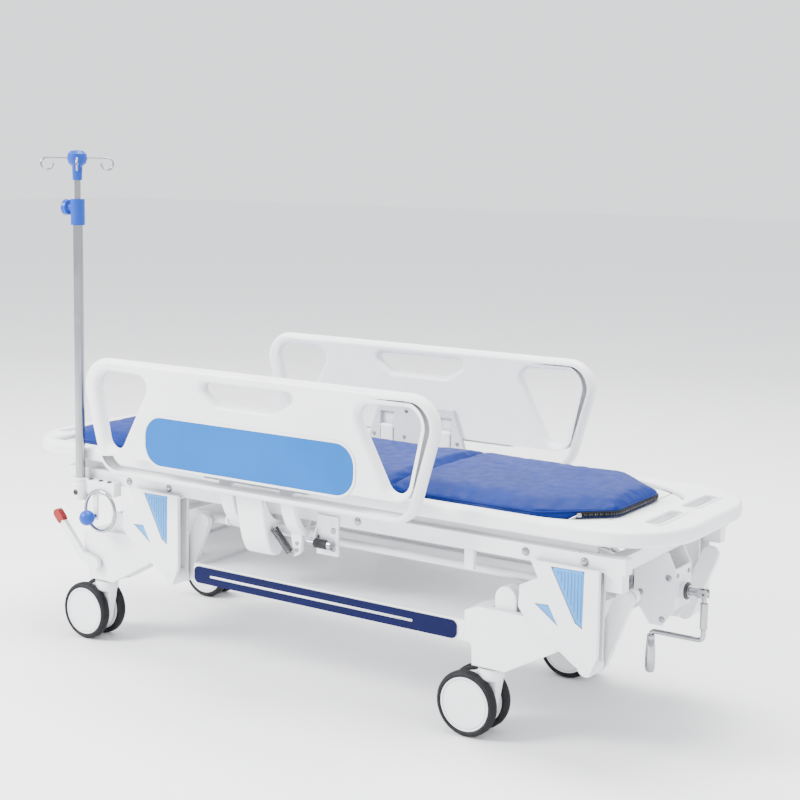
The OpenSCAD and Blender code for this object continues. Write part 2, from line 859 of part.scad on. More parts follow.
module lift_nut() {
    color("silver") placed() difference() {
        union() {
            box(nut_x - 20, nut_x + 20, -20, 20, crank_z - 18, crank_z + 18);
            bar_y(nut_x, crank_z, -34, 34, 8);
        }
        bar_x(0, crank_z, nut_x - 30, nut_x + 30, screw_r + pin_gap);
    }
}

// Folding arm, throw and grip pin, hanging down beside the shaft's end
module crank_arm() {
    x0 = crank_joint_x - crank_throw;
    z0 = crank_z - crank_drop;
    color("silver") placed() {
        bar_y(crank_joint_x, crank_z, -4.9, 4.9, 8);
        box(crank_joint_x - 7, crank_joint_x + 7, -4.9, 4.9, crank_z - 24, crank_z);
        bar_y(crank_joint_x, crank_z, -11, 11, 3);
        bar_z(crank_joint_x, 0, z0 + 10, crank_z - 20, 8);
        bar_z(crank_joint_x, 0, z0, z0 + 12, crank_r);
        translate([crank_joint_x, 0, z0]) sphere(crank_r);
        bar_x(0, z0, x0, crank_joint_x, crank_r);
        translate([x0, 0, z0]) sphere(crank_r);
        bar_z(x0, 0, z0 - grip_l - 2, z0, 4);
    }
}

module crank_grip() {
    color("lightgray") placed() translate([crank_joint_x - crank_throw, 0, crank_z - crank_drop - 8])
        difference() {
            rotate_extrude() polygon([[0, 0], [8, 0], [9.5, -8], [12, -grip_l * 0.6], [11.5, -grip_l + 10],
                [8, -grip_l + 2], [0, -grip_l]]);
            translate([0, 0, -grip_l + 4]) cylinder(h = grip_l, r = 4 + pin_gap);
        }
}

// ---------------------------------------------------------------- side rails

rail_top = rail_low + rail_h;

// Rail outline in X and Z: wide round shoulders above, narrower below
module rail_outline() {
    hull() for (s = [-1, 1]) {
        translate([s * (rail_l / 2 - 72), rail_top - 72]) circle(72);
        translate([s * (rail_l / 2 - 113), rail_low + 70]) circle(70);
    }
}

module rail_end_opening() {
    hull() {
        translate([rail_l / 2 - 84, rail_top - 71]) circle(40);
        translate([rail_l / 2 - 179, rail_top - 62]) circle(28);
        translate([rail_l / 2 - 103, rail_low + 100]) circle(33);
    }
}

module rail_grip_opening() {
    hull() for (s = [-1, 1]) {
        translate([s * 122, rail_top - 43]) circle(12);
        translate([s * 84, rail_top - 60]) circle(18);
    }
}

// Window that an arm's end turns in
module arm_window(x) {
    translate([x - arm_w / 2 - 3, arm_top_z - 42]) square([arm_w + 6, 84]);
}

module rail_shell() {
    color("white") placed() difference() {
        across(rail_in, rail_in + rail_t) difference() {
            rail_outline();
            rail_end_opening();
            mirror([1, 0]) rail_end_opening();
            rail_grip_opening();
        }
        across(rail_in - eps, rail_in + 14) for (x = [-arm_x, arm_x]) arm_window(x);
        across(rail_in + rail_t - 2, rail_in + rail_t + eps) translate([0, rail_low + 104])
            rounded(624, 119, 50);
    }
}

module rail_panel() {
    color("steelblue") placed() across(rail_in + rail_t - 2, rail_in + rail_t + 1)
        translate([0, rail_low + 104]) rounded(623, 118, 49.5);
}

// Hinge cover on the inner face, with the two arm pins
module rail_cover() {
    color("gainsboro") placed() {
        difference() {
            across(rail_in - rail_cover_t, rail_in)
                polygon([[-156, rail_low + 24], [156, rail_low + 24], [118, rail_low + 126],
                    [-118, rail_low + 126]]);
            across(rail_in - rail_cover_t - eps, rail_in + eps) for (x = [-arm_x, arm_x]) arm_window(x);
        }
        for (x = [-arm_x, arm_x])
            bar_x(arm_top_y, arm_top_z, x - arm_w / 2 - 6, x + arm_w / 2 + 6, 5);
    }
}

// Outline of an arm in Y and Z
module arm_outline() {
    hull() {
        translate([arm_low_y, arm_low_z]) circle(arm_t / 2 + 2);
        translate([arm_top_y, arm_top_z]) circle(arm_t / 2);
    }
}

module rail_arms() {
    color("white") placed() {
        for (x = [-arm_x, arm_x]) difference() {
            translate([x - arm_w / 2, 0, 0]) rotate([90, 0, 90]) linear_extrude(arm_w) arm_outline();
            bar_x(arm_top_y, arm_top_z, x - arm_w, x + arm_w, 5 + pin_gap);
        }
        bar_x(arm_low_y, arm_low_z, -cheek_x + cheek_t / 2 + 1, cheek_x - cheek_t / 2 - 1, arm_tube_r);
        bar_x(arm_low_y, arm_low_z, -cheek_x - cheek_t / 2 - 3, cheek_x + cheek_t / 2 + 3, arm_pin_r);
    }
}

// Spring catch beside the arms: a tube on the bracket and a sliding pin
module rail_latch_tube() {
    color("dimgray") placed() difference() {
        union() {
            bar_x(latch_y, latch_z, cheek_x + 4, cheek_x + 40, latch_r);
            box(cheek_x + 6, cheek_x + 36, latch_plate_y, latch_y, latch_z - 6, latch_z + 6);
        }
        bar_x(latch_y, latch_z, cheek_x, cheek_x + 42, latch_pin_r + pin_gap);
    }
}

module rail_latch_pin() {
    color("silver") placed() {
        bar_x(latch_y, latch_z, arm_x + arm_w / 2 + 3, cheek_x + 50, latch_pin_r);
        bar_x(latch_y, latch_z, cheek_x + 44, cheek_x + 54, latch_r + 2);
    }
}

module rail_shell_near() { mirror([0, 1, 0]) rail_shell(); }
module rail_shell_far() { rail_shell(); }
module rail_panel_near() { mirror([0, 1, 0]) rail_panel(); }
module rail_panel_far() { rail_panel(); }
module rail_cover_near() { mirror([0, 1, 0]) rail_cover(); }
module rail_cover_far() { rail_cover(); }
module rail_arms_near() { mirror([0, 1, 0]) rail_arms(); }
module rail_arms_far() { rail_arms(); }
module rail_latch_tube_near() { mirror([0, 1, 0]) rail_latch_tube(); }
module rail_latch_tube_far() { rail_latch_tube(); }
module rail_latch_pin_near() { mirror([0, 1, 0]) rail_latch_pin(); }
module rail_latch_pin_far() { rail_latch_pin(); }

// ---------------------------------------------------------------- IV pole

module iv_bracket() {
    color("white") placed() difference() {
        union() {
            box(iv_x - 40, iv_x + 120, -tube_out - 26, -tube_out, frame_low - 25, frame_low + 11);
            bar_z(iv_x, iv_y, iv_low - 10, frame_low + 4, 19);
            box(iv_x + 46, iv_x + 60, -tube_out - 26, -tube_out - 21, frame_low - 92, frame_low);
        }
        bar_z(iv_x, iv_y, iv_low, frame_low + 12, iv_tube_d / 2 + pin_gap);
    }
}

module iv_tube() {
    color("silver") placed() difference() {
        bar_z(iv_x, iv_y, iv_low, iv_clamp_z, iv_tube_d / 2);
        bar_z(iv_x, iv_y, iv_low + 12, iv_clamp_z + eps, iv_rod_d / 2 + pin_gap);
    }
}

module iv_rod() {
    color("silver") placed() bar_z(iv_x, iv_y, iv_clamp_z - 440, iv_top - 50, iv_rod_d / 2);
}

// Height clamp with its turning knob
module iv_clamp() {
    color("cornflowerblue") placed() difference() {
        union() {
            bar_z(iv_x, iv_y, iv_clamp_z - 44, iv_clamp_z + 22, 18);
            translate([iv_x - 18, iv_y, iv_clamp_z]) rotate([0, -90, 0]) rotate_extrude()
                polygon([[0, -6], [11, -6], [11, 6], [19, 10], [21, 22], [12, 30], [0, 32]]);
        }
        bar_z(iv_x, iv_y, iv_clamp_z - 50, iv_clamp_z, iv_tube_d / 2 + pin_gap);
        bar_z(iv_x, iv_y, iv_clamp_z - 1, iv_clamp_z + 30, iv_rod_d / 2 + pin_gap);
    }
}

module iv_hub() {
    color("cornflowerblue") placed() translate([iv_x, iv_y, iv_top - 76]) difference() {
        rotate_extrude() polygon([[0, 0], [12, 0], [13, 34], [22, 42], [25, 52], [24, 66],
            [16, 74], [0, 76]]);
        translate([0, 0, -eps]) cylinder(h = 26 + eps, r = iv_rod_d / 2);
    }
}

// One wire hook that leaves the hub level and curls down and back up
module iv_hook() {
    translate([25, 0, 0]) rotate([0, 90, 0]) cylinder(h = hook_l, r = hook_r, $fn = 24);
    translate([25 + hook_l, 0, -hook_bend]) rotate([90, 0, 0]) rotate_extrude(angle = 90, $fn = 48)
        translate([hook_bend, 0]) circle(hook_r, $fn = 24);
    translate([25 + hook_l, 0, -hook_bend]) rotate([-90, 0, 0]) rotate_extrude(angle = 180, $fn = 48)
        translate([hook_bend, 0]) circle(hook_r, $fn = 24);
}

module iv_hooks() {
    color("silver") placed() translate([iv_x, iv_y, iv_top - 20])
        for (a = [0:3]) rotate([0, 0, 45 + 90 * a]) iv_hook();
}

module holder_ring() {
    color("lightgray") placed() translate([iv_x + 75, -tube_out - 30.5, frame_low - 66]) rotate([90, 0, 0])
        rotate_extrude($fn = 96) translate([52, 0]) circle(4.5, $fn = 32);
}

module holder_knob() {
    color("steelblue") placed() {
        translate([iv_x + 53, -tube_out - 56, frame_low - 82]) sphere(20);
        bar_y(iv_x + 53, frame_low - 82, -tube_out - 50, -tube_out - 26, 5);
    }
}

// ---------------------------------------------------------------- nodes

base_frame();
base_cover();
base_trims();
lever_pins();
caster_body(-1, -1);  // caster_body_head_near
caster_body(-1, 1);  // caster_body_head_far
caster_body(1, -1);  // caster_body_foot_near
caster_body(1, 1);  // caster_body_foot_far
caster_wheels(-1, -1);  // caster_wheels_head_near
caster_wheels(-1, 1);  // caster_wheels_head_far
caster_wheels(1, -1);  // caster_wheels_foot_near
caster_wheels(1, 1);  // caster_wheels_foot_far
caster_tyres(-1, -1);  // caster_tyres_head_near
caster_tyres(-1, 1);  // caster_tyres_head_far
caster_tyres(1, -1);  // caster_tyres_foot_near
caster_tyres(1, 1);  // caster_tyres_foot_far
brake_pedal();
brake_pedal_tip();
lift_lever_foot();
lift_lever_head();
pull_rod();
v_plates_foot();
v_plates_head();
v_inserts();
upper_frame();
deck_surround();
foot_panel();
deck_spacers();
frame_bolts();
crank_bracket();
lift_screw();
lift_nut();
crank_arm();
crank_grip();
backrest_panel();
backrest_hinge_pins();
backrest_spring_tube();
backrest_spring_rod();
mattress_back();
mattress_foot();
rail_shell_near();
rail_shell_far();
rail_panel_near();
rail_panel_far();
rail_cover_near();
rail_cover_far();
rail_arms_near();
rail_arms_far();
rail_latch_tube_near();
rail_latch_tube_far();
rail_latch_pin_near();
rail_latch_pin_far();
iv_bracket();
iv_tube();
iv_rod();
iv_clamp();
iv_hub();
iv_hooks();
holder_ring();
holder_knob();
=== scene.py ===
"""The looks of the stretcher trolley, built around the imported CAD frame."""

import json
import math

import bmesh
import bpy
from mathutils import Matrix, Vector, noise


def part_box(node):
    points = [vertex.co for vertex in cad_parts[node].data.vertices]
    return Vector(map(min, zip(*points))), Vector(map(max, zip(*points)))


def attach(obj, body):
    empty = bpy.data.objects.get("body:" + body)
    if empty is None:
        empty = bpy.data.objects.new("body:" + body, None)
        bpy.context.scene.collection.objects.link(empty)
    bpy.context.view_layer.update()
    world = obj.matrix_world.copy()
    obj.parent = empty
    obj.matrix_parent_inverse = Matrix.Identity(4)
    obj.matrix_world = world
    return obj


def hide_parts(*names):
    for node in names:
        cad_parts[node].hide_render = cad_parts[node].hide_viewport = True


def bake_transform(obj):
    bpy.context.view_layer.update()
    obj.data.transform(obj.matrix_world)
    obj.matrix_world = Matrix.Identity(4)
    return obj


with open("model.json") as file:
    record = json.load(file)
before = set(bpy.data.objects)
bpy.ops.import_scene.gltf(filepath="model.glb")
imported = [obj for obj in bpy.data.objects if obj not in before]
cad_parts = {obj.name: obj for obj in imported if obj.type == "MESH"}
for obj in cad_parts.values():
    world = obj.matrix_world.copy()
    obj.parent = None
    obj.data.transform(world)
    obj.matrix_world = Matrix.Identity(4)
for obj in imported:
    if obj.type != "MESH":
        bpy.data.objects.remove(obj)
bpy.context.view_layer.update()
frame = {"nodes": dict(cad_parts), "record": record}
nodes = frame["nodes"]
slots = {s["node"]: s["material_slot"] for s in frame["record"]["subparts"]}


# ------------------------------------------------------------------ materials

def new_material(name):
    material = bpy.data.materials.new(name)
    material.use_nodes = True
    tree = material.node_tree
    return material, tree, tree.nodes["Principled BSDF"]


def add(tree, kind, **values):
    """A shader node with its properties and its inputs' plain values set by name."""
    node = tree.nodes.new(kind)
    for key, value in values.items():
        if key.startswith("in_"):
            node.inputs[key[3:].replace("_", " ")].default_value = value
        else:
            setattr(node, key, value)
    return node


def link(tree, source, target):
    tree.links.new(source, target)


def object_coordinates(tree):
    return add(tree, "ShaderNodeTexCoord").outputs["Object"]


def ramp(tree, factor, stops):
    node = add(tree, "ShaderNodeValToRGB")
    link(tree, factor, node.inputs["Fac"])
    while len(node.color_ramp.elements) < len(stops):
        node.color_ramp.elements.new(0.5)
    for element, (place, colour) in zip(node.color_ramp.elements, stops):
        element.position = place
        element.color = colour if len(colour) == 4 else (*colour, 1)
    return node.outputs["Color"]


def grey(value):
    return (value, value, value, 1)


def shade(colour, factor):
    return tuple(min(1, c * factor) for c in colour[:3]) + (1,)


def noise_texture(tree, scale, detail=4, roughness=0.55, distortion=0):
    node = add(tree, "ShaderNodeTexNoise", in_Scale=scale, in_Detail=detail,
               in_Roughness=roughness, in_Distortion=distortion)
    link(tree, object_coordinates(tree), node.inputs["Vector"])
    return node.outputs["Fac"]


def mix(tree, factor, first, second, blend="MIX"):
    """A colour mix. Each of factor, first and second is a socket or a plain value."""
    node = add(tree, "ShaderNodeMix", data_type="RGBA", blend_type=blend)
    for socket, value in zip((node.inputs[0], node.inputs[6], node.inputs[7]), (factor, first, second)):
        if isinstance(value, bpy.types.NodeSocket):
            link(tree, value, socket)
        else:
            socket.default_value = value
    return node.outputs[2]


def edge_mask(tree, radius):
    """White where an outer edge is, from the difference between the rounded and the true normal."""
    soft = add(tree, "ShaderNodeBevel", samples=6, in_Radius=radius)
    true = add(tree, "ShaderNodeNewGeometry")
    dot = add(tree, "ShaderNodeVectorMath", operation="DOT_PRODUCT")
    link(tree, soft.outputs["Normal"], dot.inputs[0])
    link(tree, true.outputs["Normal"], dot.inputs[1])
    return ramp(tree, dot.outputs["Value"], [(0.80, grey(1)), (0.985, grey(0))])


def surface(name, colour, roughness, metallic=0.0, bump=0.05, bump_scale=900, rounding=0.0015,
            corner_shade=0.25, wear=None, variation=0.04, coat=0.0, gloss=0.5, streaks=False):
    """Paint, plastic or metal with fine grain, uneven gloss, painted shade in the corners and worn edges."""
    material, tree, shader = new_material(name)
    shader.inputs["Metallic"].default_value = metallic
    shader.inputs["Specular IOR Level"].default_value = gloss
    if coat:
        shader.inputs["Coat Weight"].default_value = coat
        shader.inputs["Coat Roughness"].default_value = 0.12
    broad = noise_texture(tree, 7, 5)
    base = ramp(tree, broad, [(0.3, shade(colour, 1 - variation)), (0.7, shade(colour, 1 + variation))])
    # Painted shade: where ambient occlusion finds corners and recesses, the base colour is darkened towards
    # 0.35 of itself.
    corners = add(tree, "ShaderNodeAmbientOcclusion", samples=8, in_Distance=0.05)
    shade_and_dust = ramp(tree, corners.outputs["AO"], [(0.15, grey(corner_shade)), (0.85, grey(0))])
    base = mix(tree, shade_and_dust, base, shade(colour, 0.35))
    if wear:
        chips = ramp(tree, noise_texture(tree, 60, 6, 0.7), [(0.52, grey(0)), (0.62, grey(0.8))])
        worn = mix(tree, 1.0, edge_mask(tree, 0.002), chips, "MULTIPLY")
        base = mix(tree, worn, base, (*wear, 1))
    link(tree, base, shader.inputs["Base Color"])
    smudges = noise_texture(tree, 26, 6, 0.65, 0.4)
    link(tree, ramp(tree, smudges, [(0.3, grey(roughness - 0.06)), (0.72, grey(roughness + 0.09))]),
         shader.inputs["Roughness"])
    grain = noise_texture(tree, bump_scale, 2)
    if streaks:
        stretch = add(tree, "ShaderNodeMapping",
                      in_Scale=(6, 900, 900) if streaks == "x" else (900, 900, 6))
        link(tree, object_coordinates(tree), stretch.inputs["Vector"])
        lines = add(tree, "ShaderNodeTexNoise", in_Scale=1.0, in_Detail=2)
        link(tree, stretch.outputs["Vector"], lines.inputs["Vector"])
        grain = lines.outputs["Fac"]
    relief = add(tree, "ShaderNodeBump", in_Strength=bump, in_Distance=0.0006)
    link(tree, grain, relief.inputs["Height"])
    if rounding:
        soft = add(tree, "ShaderNodeBevel", samples=6, in_Radius=rounding)
        link(tree, soft.outputs["Normal"], relief.inputs["Normal"])
    link(tree, relief.outputs["Normal"], shader.inputs["Normal"])
    return material


def cloth(name, colour, weave=1100, sheen=0.25, roughness=0.5):
    """Coated woven cloth: a fine square weave, soft large folds and a low sheen."""
    material, tree, shader = new_material(name)
    coordinates = object_coordinates(tree)
    height = None
    for axis in ("X", "Y"):
        wave = add(tree, "ShaderNodeTexWave", wave_type="BANDS", bands_direction=axis,
                   in_Scale=weave / 6.28, in_Distortion=0.6, in_Detail=1)
        link(tree, coordinates, wave.inputs["Vector"])
        height = wave.outputs["Color"] if height is None else mix(tree, 0.5, height, wave.outputs["Color"])
    broad = noise_texture(tree, 9, 5, 0.6, 0.8)
    base = ramp(tree, broad, [(0.28, shade(colour, 0.86)), (0.72, shade(colour, 1.12))])
    base = mix(tree, ramp(tree, height, [(0, grey(0.10)), (1, grey(0))]), base, shade(colour, 0.5))
    link(tree, base, shader.inputs["Base Color"])
    link(tree,
         ramp(tree, noise_texture(tree, 40, 4),
              [(0.3, grey(roughness - 0.05)), (0.7, grey(roughness + 0.1))]),
         shader.inputs["Roughness"])
    shader.inputs["Specular IOR Level"].default_value = 0.14
    shader.inputs["Sheen Weight"].default_value = sheen
    shader.inputs["Sheen Roughness"].default_value = 0.4
    crumple = add(tree, "ShaderNodeBump", in_Strength=0.22, in_Distance=0.004)
    link(tree, noise_texture(tree, 22, 4, 0.5, 1.2), crumple.inputs["Height"])
    threads = add(tree, "ShaderNodeBump", in_Strength=0.18, in_Distance=0.0004)
    link(tree, height, threads.inputs["Height"])
    link(tree, crumple.outputs["Normal"], threads.inputs["Normal"])
    link(tree, threads.outputs["Normal"], shader.inputs["Normal"])
    return material


def tyre_rubber(name, colour):
    material = surface(name, colour, 0.62, bump=0.25, bump_scale=500, rounding=0.001, corner_shade=0.1,
                       variation=0.12, gloss=0.2)
    tree = material.node_tree
    shader = tree.nodes["Principled BSDF"]
    base = shader.inputs["Base Color"].links[0].from_socket
    shade_and_dust = ramp(tree, noise_texture(tree, 45, 6, 0.7), [(0.5, grey(0)), (0.78, grey(0.25))])
    link(tree, mix(tree, shade_and_dust, base, grey(0.06)), shader.inputs["Base Color"])
    return material


MATERIALS = {
    "white_plastic": surface("white_plastic", (0.86, 0.87, 0.885), 0.36, bump=0.10, bump_scale=1300,
                             rounding=0.004, corner_shade=0.55, wear=(0.62, 0.64, 0.66)),
    "white_paint": surface("white_paint", (0.83, 0.84, 0.86), 0.30, bump=0.07, bump_scale=420,
                           rounding=0.002, corner_shade=0.55, wear=(0.45, 0.46, 0.48), coat=0.3),
    "grey_plastic": surface("grey_plastic", (0.60, 0.62, 0.65), 0.42, bump=0.2, bump_scale=1200,
                            rounding=0.002, corner_shade=0.25, wear=(0.42, 0.43, 0.45)),
    "navy_strip": surface("navy_strip", (0.001, 0.003, 0.038), 0.34, bump=0.15, bump_scale=900,
                          rounding=0.001, corner_shade=0.1, wear=(0.02, 0.04, 0.16), variation=0.12, gloss=0.10),
    "sky_blue": surface("sky_blue", (0.055, 0.27, 0.64), 0.30, bump=0.10, bump_scale=900,
                        rounding=0.001, corner_shade=0.3, wear=(0.20, 0.45, 0.74), variation=0.06, gloss=0.3),
    "rail_blue": surface("rail_blue", (0.001, 0.115, 0.41), 0.33, bump=0.12, bump_scale=1000,
                         rounding=0.002, corner_shade=0.2, wear=(0.03, 0.20, 0.52), variation=0.06, gloss=0.10),
    "mattress_blue": cloth("mattress_blue", (0.001, 0.017, 0.155), sheen=0.0),
    "steel": surface("steel", (0.33, 0.34, 0.36), 0.20, metallic=1.0, bump=0.10, bump_scale=600,
                     rounding=0.001, corner_shade=0.5, variation=0.08, streaks="z"),
    "black_metal": surface("black_metal", (0.022, 0.022, 0.025), 0.42, bump=0.15, bump_scale=500,
                           rounding=0.001, corner_shade=0.2, wear=(0.25, 0.25, 0.26), variation=0.15),
    "wheel_grey": surface("wheel_grey", (0.82, 0.83, 0.85), 0.38, bump=0.15, bump_scale=900,
                          rounding=0.0015, corner_shade=0.35, wear=(0.4, 0.41, 0.42)),
    "tyre": tyre_rubber("tyre", (0.010, 0.010, 0.012)),
    "red_plastic": surface("red_plastic", (0.26, 0.012, 0.012), 0.34, bump=0.1, bump_scale=900,
                           rounding=0.002, corner_shade=0.3, wear=(0.36, 0.08, 0.07), variation=0.08, gloss=0.25),
    "blue_plastic": surface("blue_plastic", (0.008, 0.055, 0.36), 0.32, bump=0.1, bump_scale=900,
                            rounding=0.002, corner_shade=0.25, wear=(0.06, 0.16, 0.50), variation=0.08, gloss=0.25),
}
MATERIALS["zip_black"] = cloth("zip_black", (0.006, 0.006, 0.007), weave=2600, sheen=0.0, roughness=0.6)
MATERIALS["chrome"] = surface("chrome", (0.36, 0.37, 0.39), 0.12, metallic=1.0, bump=0.03, bump_scale=300,
                              rounding=0.0008, corner_shade=0.3, variation=0.04)


def paint(obj, name):
    """Gives an object one of the materials."""
    obj.data.materials.clear()
    obj.data.materials.append(MATERIALS[name])
    return obj


for name, obj in nodes.items():
    paint(obj, slots[name])


# ------------------------------------------------------------------ shapes

def link_object(name, data, material, body):
    """An object that rides a body, painted with one of the materials."""
    obj = bpy.data.objects.new(name, data)
    bpy.context.scene.collection.objects.link(obj)
    paint(obj, material)
    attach(obj, body)
    return obj


def mesh_from(name, bm, material, body, smooth=40):
    """A mesh object from a bmesh, smooth except at edges sharper than an angle in degrees."""
    bmesh.ops.recalc_face_normals(bm, faces=bm.faces)
    for face in bm.faces:
        face.smooth = True
    for edge in bm.edges:
        edge.smooth = len(edge.link_faces) == 2 and edge.calc_face_angle(0) < math.radians(smooth)
    mesh = bpy.data.meshes.new(name)
    bm.to_mesh(mesh)
    bm.free()
    return link_object(name, mesh, material, body)


def arc(centre, radius, start, end, steps):
    """Points of an arc between two angles in degrees."""
    return [(centre[0] + radius * math.cos(math.radians(start + (end - start) * i / steps)),
             centre[1] + radius * math.sin(math.radians(start + (end - start) * i / steps)))
            for i in range(steps + 1)]


def hull(circles, steps=10):
    """The convex outline around circles (x, y, radius), as points in turn."""
    points = [p for x, y, r in circles for p in arc((x, y), r, 0, 360, steps * 4)[:-1]]
    points = sorted(set((round(x, 7), round(y, 7)) for x, y in points))

    def half(run):
        chain = []
        for p in run:
            while len(chain) > 1 and ((chain[-1][0] - chain[-2][0]) * (p[1] - chain[-2][1])
                                      - (chain[-1][1] - chain[-2][1]) * (p[0] - chain[-2][0])) <= 1e-12:
                chain.pop()
            chain.append(p)
        return chain[:-1]
    return half(points) + half(points[::-1])


def round_rectangle(x0, x1, y0, y1, r, steps=8):
    """The outline of a rectangle with round corners."""
    return hull([(x, y, r) for x in (x0 + r, x1 - r) for y in (y0 + r, y1 - r)], steps)


def round_polygon(points, radius, steps=5):
    """A closed outline with each corner rounded off."""
    out = []
    count = len(points)
    for i, point in enumerate(points):
        r = radius[i] if isinstance(radius, (list, tuple)) else radius
        here = Vector(point)
        before = Vector(points[i - 1]) - here
        after = Vector(points[(i + 1) % count]) - here
        reach = min(r, before.length * 0.49, after.length * 0.49)
        a = here + before.normalized() * reach
        b = here + after.normalized() * reach
        for k in range(steps + 1):
            t = k / steps
            out.append(tuple(a * (1 - t) ** 2 + here * 2 * t * (1 - t) + b * t * t))
    return out


def slab(name, outer, holes, low, high, rim, material, body, plane="XY", rim_steps=4):
    """A plate with round rims around its outline and its holes, between two heights along its axis."""
    curve = bpy.data.curves.new(name, "CURVE")
    curve.dimensions = "2D"
    curve.fill_mode = "BOTH"
    curve.extrude = (high - low) / 2 - rim
    curve.bevel_depth = rim
    curve.bevel_resolution = rim_steps
    curve.offset = -rim
    for outline in [outer] + list(holes):
        spline = curve.splines.new("POLY")
        spline.points.add(len(outline) - 1)
        for point, (x, y) in zip(spline.points, outline):
            point.co = (x, y, 0, 1)
        spline.use_cyclic_u = True
    middle = (low + high) / 2
    swap = Matrix(((0, 0, 1, 0), (1, 0, 0, 0), (0, 1, 0, 0), (0, 0, 0, 1)))
    turn = {"XY": Matrix.Translation((0, 0, middle)),
            "XZ": Matrix.Translation((0, middle, 0)) @ Matrix.Rotation(math.pi / 2, 4, "X"),
            "YZ": Matrix.Translation((middle, 0, 0)) @ swap}
    obj = bpy.data.objects.new(name + "_curve", curve)
    bpy.context.scene.collection.objects.link(obj)
    bpy.context.view_layer.update()
    mesh = bpy.data.meshes.new_from_object(obj.evaluated_get(bpy.context.evaluated_depsgraph_get()))
    bpy.data.objects.remove(obj)
    mesh.transform(turn[plane])
    bm = bmesh.new()
    bm.from_mesh(mesh)
    bpy.data.meshes.remove(mesh)
    bmesh.ops.remove_doubles(bm, verts=bm.verts, dist=1e-6)
    return mesh_from(name, bm, material, body, smooth=50)


def tube(name, points, radius, material, body, sides=16, closed=False, radii=None, ends=True):
    """A round bar that follows points."""
    bm = bmesh.new()
    rings = []
    count = len(points)
    points = [Vector(p) for p in points]
    side = None
    for i, point in enumerate(points):
        after = points[(i + 1) % count] if closed or i < count - 1 else point
        before = points[i - 1] if closed or i > 0 else point
        along = (after - before).normalized()
        if side is None:
            side = along.orthogonal().normalized()
        side = (side - along * side.dot(along)).normalized()
        up = along.cross(side)
        r = radii[i] if radii else radius
        rings.append([bm.verts.new(point + (side * math.cos(a) + up * math.sin(a)) * r)
                      for a in (2 * math.pi * k / sides for k in range(sides))])
    for i in range(count if closed else count - 1):
        first, second = rings[i], rings[(i + 1) % count]
        for k in range(sides):
            bm.faces.new((first[k], first[(k + 1) % sides], second[(k + 1) % sides], second[k]))
    if not closed and ends:
        bm.faces.new(rings[0][::-1])
        bm.faces.new(rings[-1])
    return mesh_from(name, bm, material, body)


def lathe(name, profile, origin, axis, material, body, sides=48, smooth=35):
    """A turned piece: profile is (radius, height) pairs along axis from origin."""
    bm = bmesh.new()
    axis = Vector(axis).normalized()
    side = axis.orthogonal().normalized()
    up = axis.cross(side)
    origin = Vector(origin)
    rings = []
    for r, h in profile:
        centre = origin + axis * h
        if r < 1e-6:
            rings.append([bm.verts.new(centre)])
        else:
            rings.append([bm.verts.new(centre + (side * math.cos(a) + up * math.sin(a)) * r)
                          for a in (2 * math.pi * k / sides for k in range(sides))])
    for first, second in zip(rings, rings[1:]):
        for k in range(sides):
            n = (k + 1) % sides
            if len(first) == 1 and len(second) > 1:
                bm.faces.new((first[0], second[n], second[k]))
            elif len(second) == 1 and len(first) > 1:
                bm.faces.new((first[k], first[n], second[0]))
            elif len(first) > 1:
                bm.faces.new((first[k], first[n], second[n], second[k]))
    return mesh_from(name, bm, material, body, smooth)


def bolt(name, place, axis, radius, body, material="steel", height=0.35):
    """A dome head with a round socket and a washer."""
    r = radius
    lathe(name, [(r * 1.25, 0), (r * 1.25, r * 0.16), (r, r * 0.18), (r, r * (0.2 + height * 0.5)),
                 (r * 0.8, r * (0.2 + height)), (r * 0.45, r * (0.25 + height)), (r * 0.42, r * 0.3),
                 (0, r * 0.28)],
          place, axis, material, body, sides=24, smooth=30)


# ------------------------------------------------------------------ places

shell_low, shell_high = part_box("rail_shell_near")
mid_x = (shell_low.x + shell_high.x) / 2
deck_low, deck_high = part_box("deck_surround")
near = -1
far = 1
SIDES = (("near", near), ("far", far))
CASTERS = [(end, side) for end in ("head", "foot") for side in ("near", "far")]


# ------------------------------------------------------------------ deck

slot_half = (0.016, 0.075)
slot_places = [(deck_low.x + 0.056, s * 0.096) for s in (near, far)] + \
              [(deck_high.x - 0.082, s * 0.096) for s in (near, far)]
slot_holes = [round_rectangle(x - slot_half[0], x + slot_half[0], y - slot_half[1], y + slot_half[1], 0.014)
              for x, y in slot_places]
recess = round_polygon([(mid_x - 0.790, -0.243), (mid_x + 0.760, -0.243), (mid_x + 0.880, -0.150),
                        (mid_x + 0.880, 0.150), (mid_x + 0.760, 0.243), (mid_x - 0.790, 0.243)],
                       [0.03, 0.12, 0.06, 0.06, 0.12, 0.03], 10)
opening = round_rectangle(mid_x - 0.770, mid_x + 0.815, -0.223, 0.223, 0.004)
deck_outline = round_rectangle(deck_low.x, deck_high.x, deck_low.y, deck_high.y, 0.180, 16)
rim = slab("deck_rim", deck_outline, [recess] + slot_holes, deck_low.z, deck_high.z, 0.0095,
           "white_plastic", "frame", rim_steps=5)
ledge = slab("deck_ledge", [(x * 0.995, y * 0.99) for x, y in recess], [opening],
             deck_high.z - 0.022, deck_high.z - 0.014, 0.0015, "white_plastic", "frame")
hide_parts("deck_surround")
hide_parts("deck_surround")
for i, (x, y) in enumerate(slot_places):
    lip = round_rectangle(x - slot_half[0] - 0.009, x + slot_half[0] + 0.009,
                          y - slot_half[1] - 0.009, y + slot_half[1] + 0.009, 0.022)
    slab(f"slot_lip_{i}", lip, [slot_holes[i]], deck_high.z - 0.006, deck_high.z + 0.003, 0.0042,
         "white_plastic", "frame")


# ------------------------------------------------------------------ side rails

